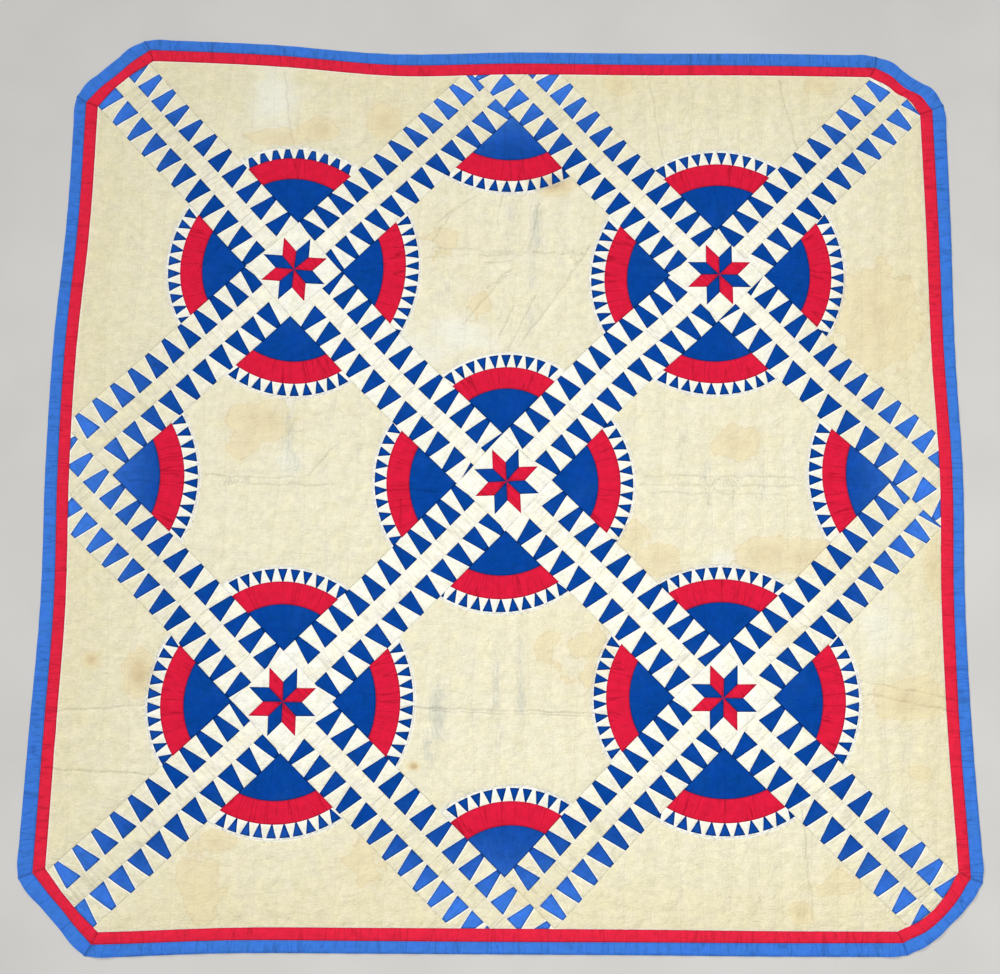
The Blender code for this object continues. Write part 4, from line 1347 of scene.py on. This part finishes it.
def build_block(block):
    """One block, pieced and raised."""
    side = HALF_SASH + HALF_GAP
    low = [(place - 0.5 * (place == -2)) * PITCH + side for place in (block.u, block.v)]
    high = [(place + 1 + 0.5 * (place == 1)) * PITCH - side for place in (block.u, block.v)]
    fans = [fan for fan in FANS
            if (fan.u, fan.into_u) in ((block.u, 1), (block.u + 1, -1))
            and (fan.v, fan.into_v) in ((block.v, 1), (block.v + 1, -1))]
    form = bmesh.new()
    for fan in fans:
        spin_fan(form, fan)
    corners = [np.array(corner) for corner in
               ((low[0], low[1]), (high[0], low[1]), (high[0], high[1]), (low[0], high[1]))]
    for corner in corners:
        if not any(np.allclose(fan_corner(fan), corner, atol=ON_LINE) for fan in fans):
            form.verts.new((*corner, 0))
    rim = [edge for fan in fans for edge in arc_edges(form, fan, fan_radii(fan)[-1])]
    for corner, other in zip(corners, corners[1:] + corners[:1]):
        rim.append(form.edges.new((side_end(form, corner, other), side_end(form, other, corner))))
    bmesh.ops.edgeloop_fill(form, edges=rim, mat_nr=MUSLIN)
    bmesh.ops.recalc_face_normals(form, faces=form.faces)
    for fan in fans:
        cut_spikes(form, fan)
    at_border = not {block.u, block.v} <= {-1, 0}
    if at_border:
        for index in range(len(SIDES)):
            corner, after = [ring_corner(place, "edge", -BORDER_SPARE) for place in (index, index + 1)]
            start, end = to_flat(np.array([corner, after]))
            cut(form, list(form.faces), end, start, trim=True)
    lines = sewing_lines(form, at_border)
    for axis in (0, 1):
        crosswise(form, list(form.faces), axis, stepped(low[axis], high[axis], MESH_STEP)[1:-1])
    if at_border:
        trim_to_border(form, RED_SEAM)
    rows = np.array([row for fan in fans for row in fan_rows(fan)])

    def on_ground(flat):
        return ~np.any([in_fan(fan, flat)[0] for fan in fans], axis=0)

    def run(flat, places):
        lie = places[:, ::-1].copy()
        for fan in fans:
            inside, turns, away = in_fan(fan, flat)
            lie[inside, 0] = (FAN_SHIFT * FANS.index(fan) + fan.red / 1000 * turns)[inside]
            lie[inside, 1] = away[inside]
        return lie

    return finish_flat(block.name, form, BLOCK_PIECED, lines, rows, run, on_ground)


for block in BLOCKS:
    piece = build_block(block)
    print(block.name, len(piece.data.polygons), "faces")

# %% [markdown]
# ## Borders
#
# The red and the blue border are long narrow strips with slanted ends. Each starts as a flat grid as
# long and as wide as the strip, which is then laid between its two border lines. The blue strip is
# turned under along the outline, so its outer edge is rounded.

# %% Lay the borders
HEM_BACK = 0.010
HEM_ROUNDING = 0.0045
HEM_RIM = 0.55
HEM_UNDER = 0.42
HEM_CURL = 0.0020


def double(form):
    """Close a flat form with a second layer over the first, whose points stay the first half."""
    low = list(form.verts)
    bmesh.ops.extrude_face_region(form, geom=list(form.faces), use_keep_orig=True)
    bmesh.ops.translate(form, verts=low, vec=(0, 0, -LOFT))
    bmesh.ops.recalc_face_normals(form, faces=form.faces)


def build_border(index, color_name, outer_line, inner_line):
    """One border strip, raised, with its outer edge turned under if it lies at the outline."""
    outermost = outer_line == "edge"
    inward = 0.0 if outermost else HALF_GAP
    length = (ring_corner(index + 1, outer_line, 0) - ring_corner(index, outer_line, 0)).length
    width = (ring_point(index, 0.5, outer_line) - ring_point(index, 0.5, inner_line)).length
    along, across = round(length / MESH_STEP), max(round(width / (0.6 * MESH_STEP)), 5)
    node = f"{color_name}_border_{SIDES[index].name}"
    form = bmesh.new()
    bmesh.ops.create_grid(form, x_segments=along, y_segments=across, size=0.5)
    shares = np.array([(vert.co.x + 0.5, vert.co.y + 0.5) for vert in form.verts])
    end = 2 * HALF_GAP / length
    shares[:, 0] = np.clip(shares[:, 0], end, 1 - end)

    def lay(share, depth):
        outer = ring_point(index, share, outer_line, inward)
        return outer.lerp(ring_point(index, share, inner_line, -HALF_GAP), depth)

    for vert, (share, depth) in zip(form.verts, shares):
        vert.co = (*lay(share, 1 - depth), 0)
    area = sum(face.calc_area() for face in form.faces)
    half = len(shares)
    double(form)
    mesh, places = as_mesh(form, f"cloth_{node}")
    count = row_count(index)
    stops = [min(max(step / count, end), 1 - end) for step in range(count + 1)]
    outer, inner = [np.array([lay(share, depth) for share in stops]) for depth in (0, 1)]
    ends = [(outer[0], inner[0]), (outer[-1], inner[-1])]
    sewn = np.concatenate((np.stack((inner[:-1], inner[1:]), axis=1), ends))
    if not outermost:
        sewn = np.concatenate((np.stack((outer[:-1], outer[1:]), axis=1), sewn))
    rows = np.stack((outer[1:-1] * 0.8 + inner[1:-1] * 0.2, outer[1:-1] * 0.2 + inner[1:-1] * 0.8), axis=1)
    from_seam, from_row = distance(places, sewn), distance(places, rows, signed=True)
    height = face_height(places, np.minimum(from_seam, np.abs(from_row)), from_seam)
    back = np.full(len(places), BACK_HEIGHT)
    if outermost:
        from_edge = distance(places, np.stack((outer[:-1], outer[1:]), axis=1))
        rounding = np.sqrt(1 - (1 - np.clip(from_edge / HEM_ROUNDING, 0, 1)) ** 2)
        height = HEM_RIM * HEM_HEIGHT * (1 - rounding) + height * rounding
        back = np.where(from_edge < HEM_BACK, 0.0, BACK_HEIGHT)
        back = np.maximum(back, HEM_UNDER * HEM_HEIGHT * (1 - np.clip(from_edge / HEM_CURL, 0, 1)) ** 2)
    lay_out(mesh, places, np.where(np.arange(len(places)) < half, back, height))
    turn = math.atan2(*(outer[-1] - outer[0])[::-1])
    grain = places @ np.array(((math.cos(turn), -math.sin(turn)), (math.sin(turn), math.cos(turn))))
    store_marks(mesh, places, from_seam, from_row, grain + GRAIN_SHIFT, grain + GRAIN_SHIFT)
    return add_piece(mesh, [FABRICS[f"border_{color_name}"]], node)


for index in range(len(SIDES)):
    build_border(index, "red", "blue_seam", "red_seam")
    piece = build_border(index, "blue", "edge", "blue_seam")
    print(piece.name, len(piece.data.polygons), "faces")

# %% [markdown]
# ## Backing
#
# Underneath lies one plain muslin backing, quilted with the same rows as the face. The blue border is
# turned over its edge, so the backing stops short of the outline. It is a thin flat grid, trimmed to
# its outline, with a small dent along every row.

# %% Lay the backing
BACKING_THICKNESS = 0.00015
BACKING_STEP = 0.012
BACKING_INSET = 0.0006
DENT_DEPTH = 0.00026
DENT_REACH = 0.008


def build_backing():
    """The backing cloth, flat on the bed."""
    outline = ring("edge", HEM_BACK + BACKING_INSET)
    low, high = outline.min(axis=0), outline.max(axis=0)
    form = flat_face(((low[0], low[1]), (high[0], low[1]), (high[0], high[1]), (low[0], high[1])))
    for axis in (0, 1):
        crosswise(form, list(form.faces), axis, stepped(low[axis], high[axis], BACKING_STEP)[1:-1])
    trim_to_border(form, outline)
    area = sum(face.calc_area() for face in form.faces)
    half = len(form.verts)
    double(form)
    mesh, places = as_mesh(form, "backing_cloth")
    from_row = ground_rows(places)
    dent = DENT_DEPTH * np.exp(-(from_row / DENT_REACH) ** 2)
    lay_out(mesh, places, dent + BACKING_THICKNESS * (np.arange(len(places)) >= half))
    store_marks(mesh, places, np.full(len(places), NEAR), from_row, places[:, ::-1], places + GRAIN_SHIFT)
    piece = link_cloth(mesh, [FABRICS["backing"]])
    return piece


backing = build_backing()
print("backing:", len(backing.data.polygons), "faces")

# %% [markdown]
# ## Floor, light and camera
#
# The quilt lies on a plain pale floor. The light is soft and comes mostly from above, with a little
# from far off at the upper left that brings out the puffs and creases evenly. The colours are shown as
# they are, with the Standard view, because Blender's usual view would pale such strong red and blue.
# The camera stands over the lower edge and looks almost straight down.

# %% Set the stage
def make_floor():
    """A large pale floor just under the quilt."""
    form = bmesh.new()
    bmesh.ops.create_grid(form, x_segments=1, y_segments=1, size=6.0)
    bmesh.ops.translate(form, verts=form.verts, vec=(0, 0, -0.0004))
    mesh, _ = as_mesh(form, "floor")
    floor = bpy.data.objects.new("floor", mesh)
    bpy.context.collection.objects.link(floor)
    material = bpy.data.materials.new("pale_floor")
    material.use_nodes = True
    tree = material.node_tree
    shader = tree.nodes["Principled BSDF"]
    shader.inputs["Roughness"].default_value = 0.7
    shader.inputs["Specular IOR Level"].default_value = 0.2
    place = Value(add_node(tree, "ShaderNodeTexCoord").outputs["Object"])
    tone = between(speckle(place, 3.0, 3.0), 0.3, 0.7)
    shown = mixed(tree, tone, (0.56, 0.55, 0.53, 1), (0.60, 0.59, 0.57, 1))
    tree.links.new(shown.socket, shader.inputs["Base Color"])
    mesh.materials.append(material)


def add_lamp(name, place, target, width, height, power, color=(1, 1, 1)):
    """A soft area lamp that faces a point."""
    lamp = bpy.data.lights.new(name, "AREA")
    lamp.shape, lamp.size, lamp.size_y, lamp.energy, lamp.color = "RECTANGLE", width, height, power, color
    holder = bpy.data.objects.new(name, lamp)
    holder.location = place
    holder.rotation_euler = (Vector(target) - Vector(place)).to_track_quat("-Z", "Y").to_euler()
    bpy.context.collection.objects.link(holder)


make_floor()
add_lamp("overhead_softbox", (0.45, -0.45, 3.4), (0, 0, 0), 3.2, 3.2, 90, (1.0, 0.99, 0.97))
far_key = bpy.data.lights.new("far_key", "SUN")
far_key.energy = 1.5
far_key.angle = math.radians(18)
key_holder = bpy.data.objects.new("far_key", far_key)
key_holder.rotation_euler = Vector((2.4, -2.9, -2.0)).to_track_quat("-Z", "Y").to_euler()
bpy.context.collection.objects.link(key_holder)
world = bpy.data.worlds.new("studio_air")
world.use_nodes = True
world.node_tree.nodes["Background"].inputs["Color"].default_value = (0.95, 0.97, 1.0, 1)
world.node_tree.nodes["Background"].inputs["Strength"].default_value = 0.36
bpy.context.scene.world = world
bpy.context.scene.view_settings.view_transform = "Standard"

view = bpy.data.cameras.new("camera")
view.lens = 39.49
view.sensor_width = 36.0
view.shift_x = -0.06
view.dof.use_dof = False
camera = bpy.data.objects.new("camera", view)
camera.location = (0.0021, -0.3190, 2.4411)
camera.rotation_euler = (0.1250, -0.0443, -0.0044)
bpy.context.collection.objects.link(camera)
bpy.context.scene.camera = camera
print("camera height in m:", round(camera.location.z, 2))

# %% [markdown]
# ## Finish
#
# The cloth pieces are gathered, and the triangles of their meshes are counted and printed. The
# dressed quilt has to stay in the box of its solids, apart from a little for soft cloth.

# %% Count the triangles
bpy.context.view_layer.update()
cloths = [item for item in bpy.data.objects if item.name.startswith(("cloth", "backing"))]
print("triangles:", sum(len(face.vertices) - 2 for cloth in cloths for face in cloth.data.polygons))
